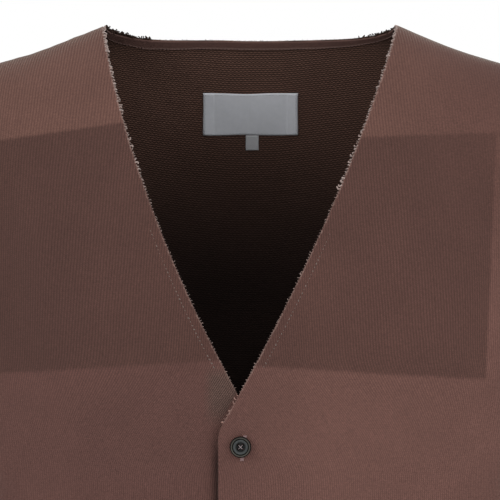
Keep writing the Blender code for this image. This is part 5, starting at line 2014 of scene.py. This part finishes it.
# %% Buttonholes
# half a hole's length, and how far its middle is from the button's; it leans a little
HOLE_HALF, HOLE_DOWN, HOLE_ASIDE, HOLE_LEAN = 0.0083, 0.0008, 0.0021, 0.0011
SIDE_OFF, SIDE_PROUD, END_HALF, END_PROUD = 0.00055, 0.00005, 0.0011, 0.0001

hole_lines = []
for seat, _ in seats:
    t = np.linspace(-1.0, 1.0, 12)
    x = seat[0] + HOLE_ASIDE + HOLE_LEAN * t
    z = seat[2] - HOLE_DOWN + HOLE_HALF * t
    for off in (-SIDE_OFF, SIDE_OFF):
        hole_lines.append(over_front(x + off, z, SIDE_PROUD))
    for end in (0, -1):
        xs = x[end] + np.linspace(-END_HALF, END_HALF, 5)
        hole_lines.append(over_front(xs, z[end] + 0 * xs, END_PROUD))
buttonholes = grown("buttonholes", hole_lines, stitches, mauve_thread, Pitch=0.00040, Length=0.0012,
                    Radius=0.00015, Rise=0.0003, Turn=math.pi / 2, Uneven=0.1, Seed=9)


# %% Round threads along short paths
def tubes(name, paths, radius, thread, sides=6):
    points, faces = [], []
    for path in paths:
        along = unit(np.gradient(path, axis=0))
        side = unit(np.cross(along, np.array([0.31, 0.17, 0.93])))
        other = np.cross(along, side)
        base = len(points)
        for p, u, w in zip(path, side, other):
            for k in range(sides):
                a = 2 * math.pi * k / sides
                points.append(p + radius * (math.cos(a) * u + math.sin(a) * w))
        for i in range(len(path) - 1):
            low, high = base + i * sides, base + (i + 1) * sides
            for k in range(sides):
                n = (k + 1) % sides
                faces.append((low + k, low + n, high + n, high + k))
        last = base + (len(path) - 1) * sides
        faces.append(tuple(base + k for k in reversed(range(sides))))
        faces.append(tuple(last + k for k in range(sides)))
    rough = bpy.data.meshes.new(name)
    rough.from_pydata([tuple(p) for p in points], [], faces)
    work = bmesh.new()
    work.from_mesh(rough)
    bpy.data.meshes.remove(rough)
    mesh = kept_mesh(name, work)
    mesh.materials.append(thread)
    mesh.shade_smooth()
    print(name, len(mesh.polygons), "faces")
    return linked(name, mesh)


# %% The crossed thread in each button
# the thread's height over the seat, how much it arches, and how far its ends dip into the holes
CROSS_LEVEL, CROSS_ARCH, CROSS_DIP, CROSS_RADIUS = 0.60 * BUTTON_HEIGHT, 0.0006, 0.0011, 0.00024

cross_lines = []
for seat, turn in seats:
    for way in ((1, 1), (1, -1)):
        s = np.linspace(-1.0, 1.0, 9)[:, None]
        flat = HOLE_OFFSET * s * np.array(way, float)
        high = CROSS_LEVEL + CROSS_ARCH * (1 - s**2) - CROSS_DIP * (s**4)
        cross_lines.append(np.concatenate([flat, high], axis=1) @ turn + seat)
button_thread = tubes("button_thread", cross_lines, CROSS_RADIUS, cross_thread)

# %% [markdown]
# ## Joining the frame
# Every piece rides on the one body and stands for its CAD solid. The tables also list the cut of
# each cloth piece, and the threads, which are the cloth's own.

# %% Knitted panels
# the piece, its CAD node, the rectangle it is cut from, its area, and the threads that go with it
PANELS = (
    (fronts[1], "front_left", (0.30, 0.70), 0.171, [v_dots, buttonholes, v_loops, v_foot, v_loose]),
    (fronts[-1], "front_right", (0.30, 0.70), 0.162, []),
    (back, "back", (0.50, 0.70), 0.325, [neck_loops, frays, hem_stitches]),
    (sleeves[1], "sleeve_left", (0.45, 0.60), 0.170, []),
    (sleeves[-1], "sleeve_right", (0.45, 0.60), 0.170, []),
)
for piece, node, cut, area, threads in PANELS:
    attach(piece, "root")
    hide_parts(node)
print(len(PANELS), "panels, cut from", round(sum(panel[3] for panel in PANELS), 3), "m2")

# %% Tape, label and tab
LAID = (
    (tape, "neck_tape", "tape", (tape_length, 0.016), tape_area),
    (label, "label", "label", (0.0728, 0.0320), None),
    (tab, "label_tab", "tab", (0.0102, 0.0115), None),
)
for piece, node, slot, cut, area in LAID:
    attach(piece, "root")
    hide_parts(node)
print(len(LAID), "pieces laid on the back")

# %% Buttons and threads
for k, button in enumerate(buttons):
    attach(button, "root")
    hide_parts(f"button_{k + 1}")
THREADS = {
    "knit": (v_loops, v_foot, v_loose, v_dots, neck_loops, frays, hem_stitches, buttonholes, button_thread),
    "tape": (tape_stitches,),
    "label": (label_stitches,),
}
for slot, pieces in THREADS.items():
    for piece in pieces:
        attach(piece, "root")
print(len(buttons), "buttons and", sum(map(len, THREADS.values())), "pieces of thread")
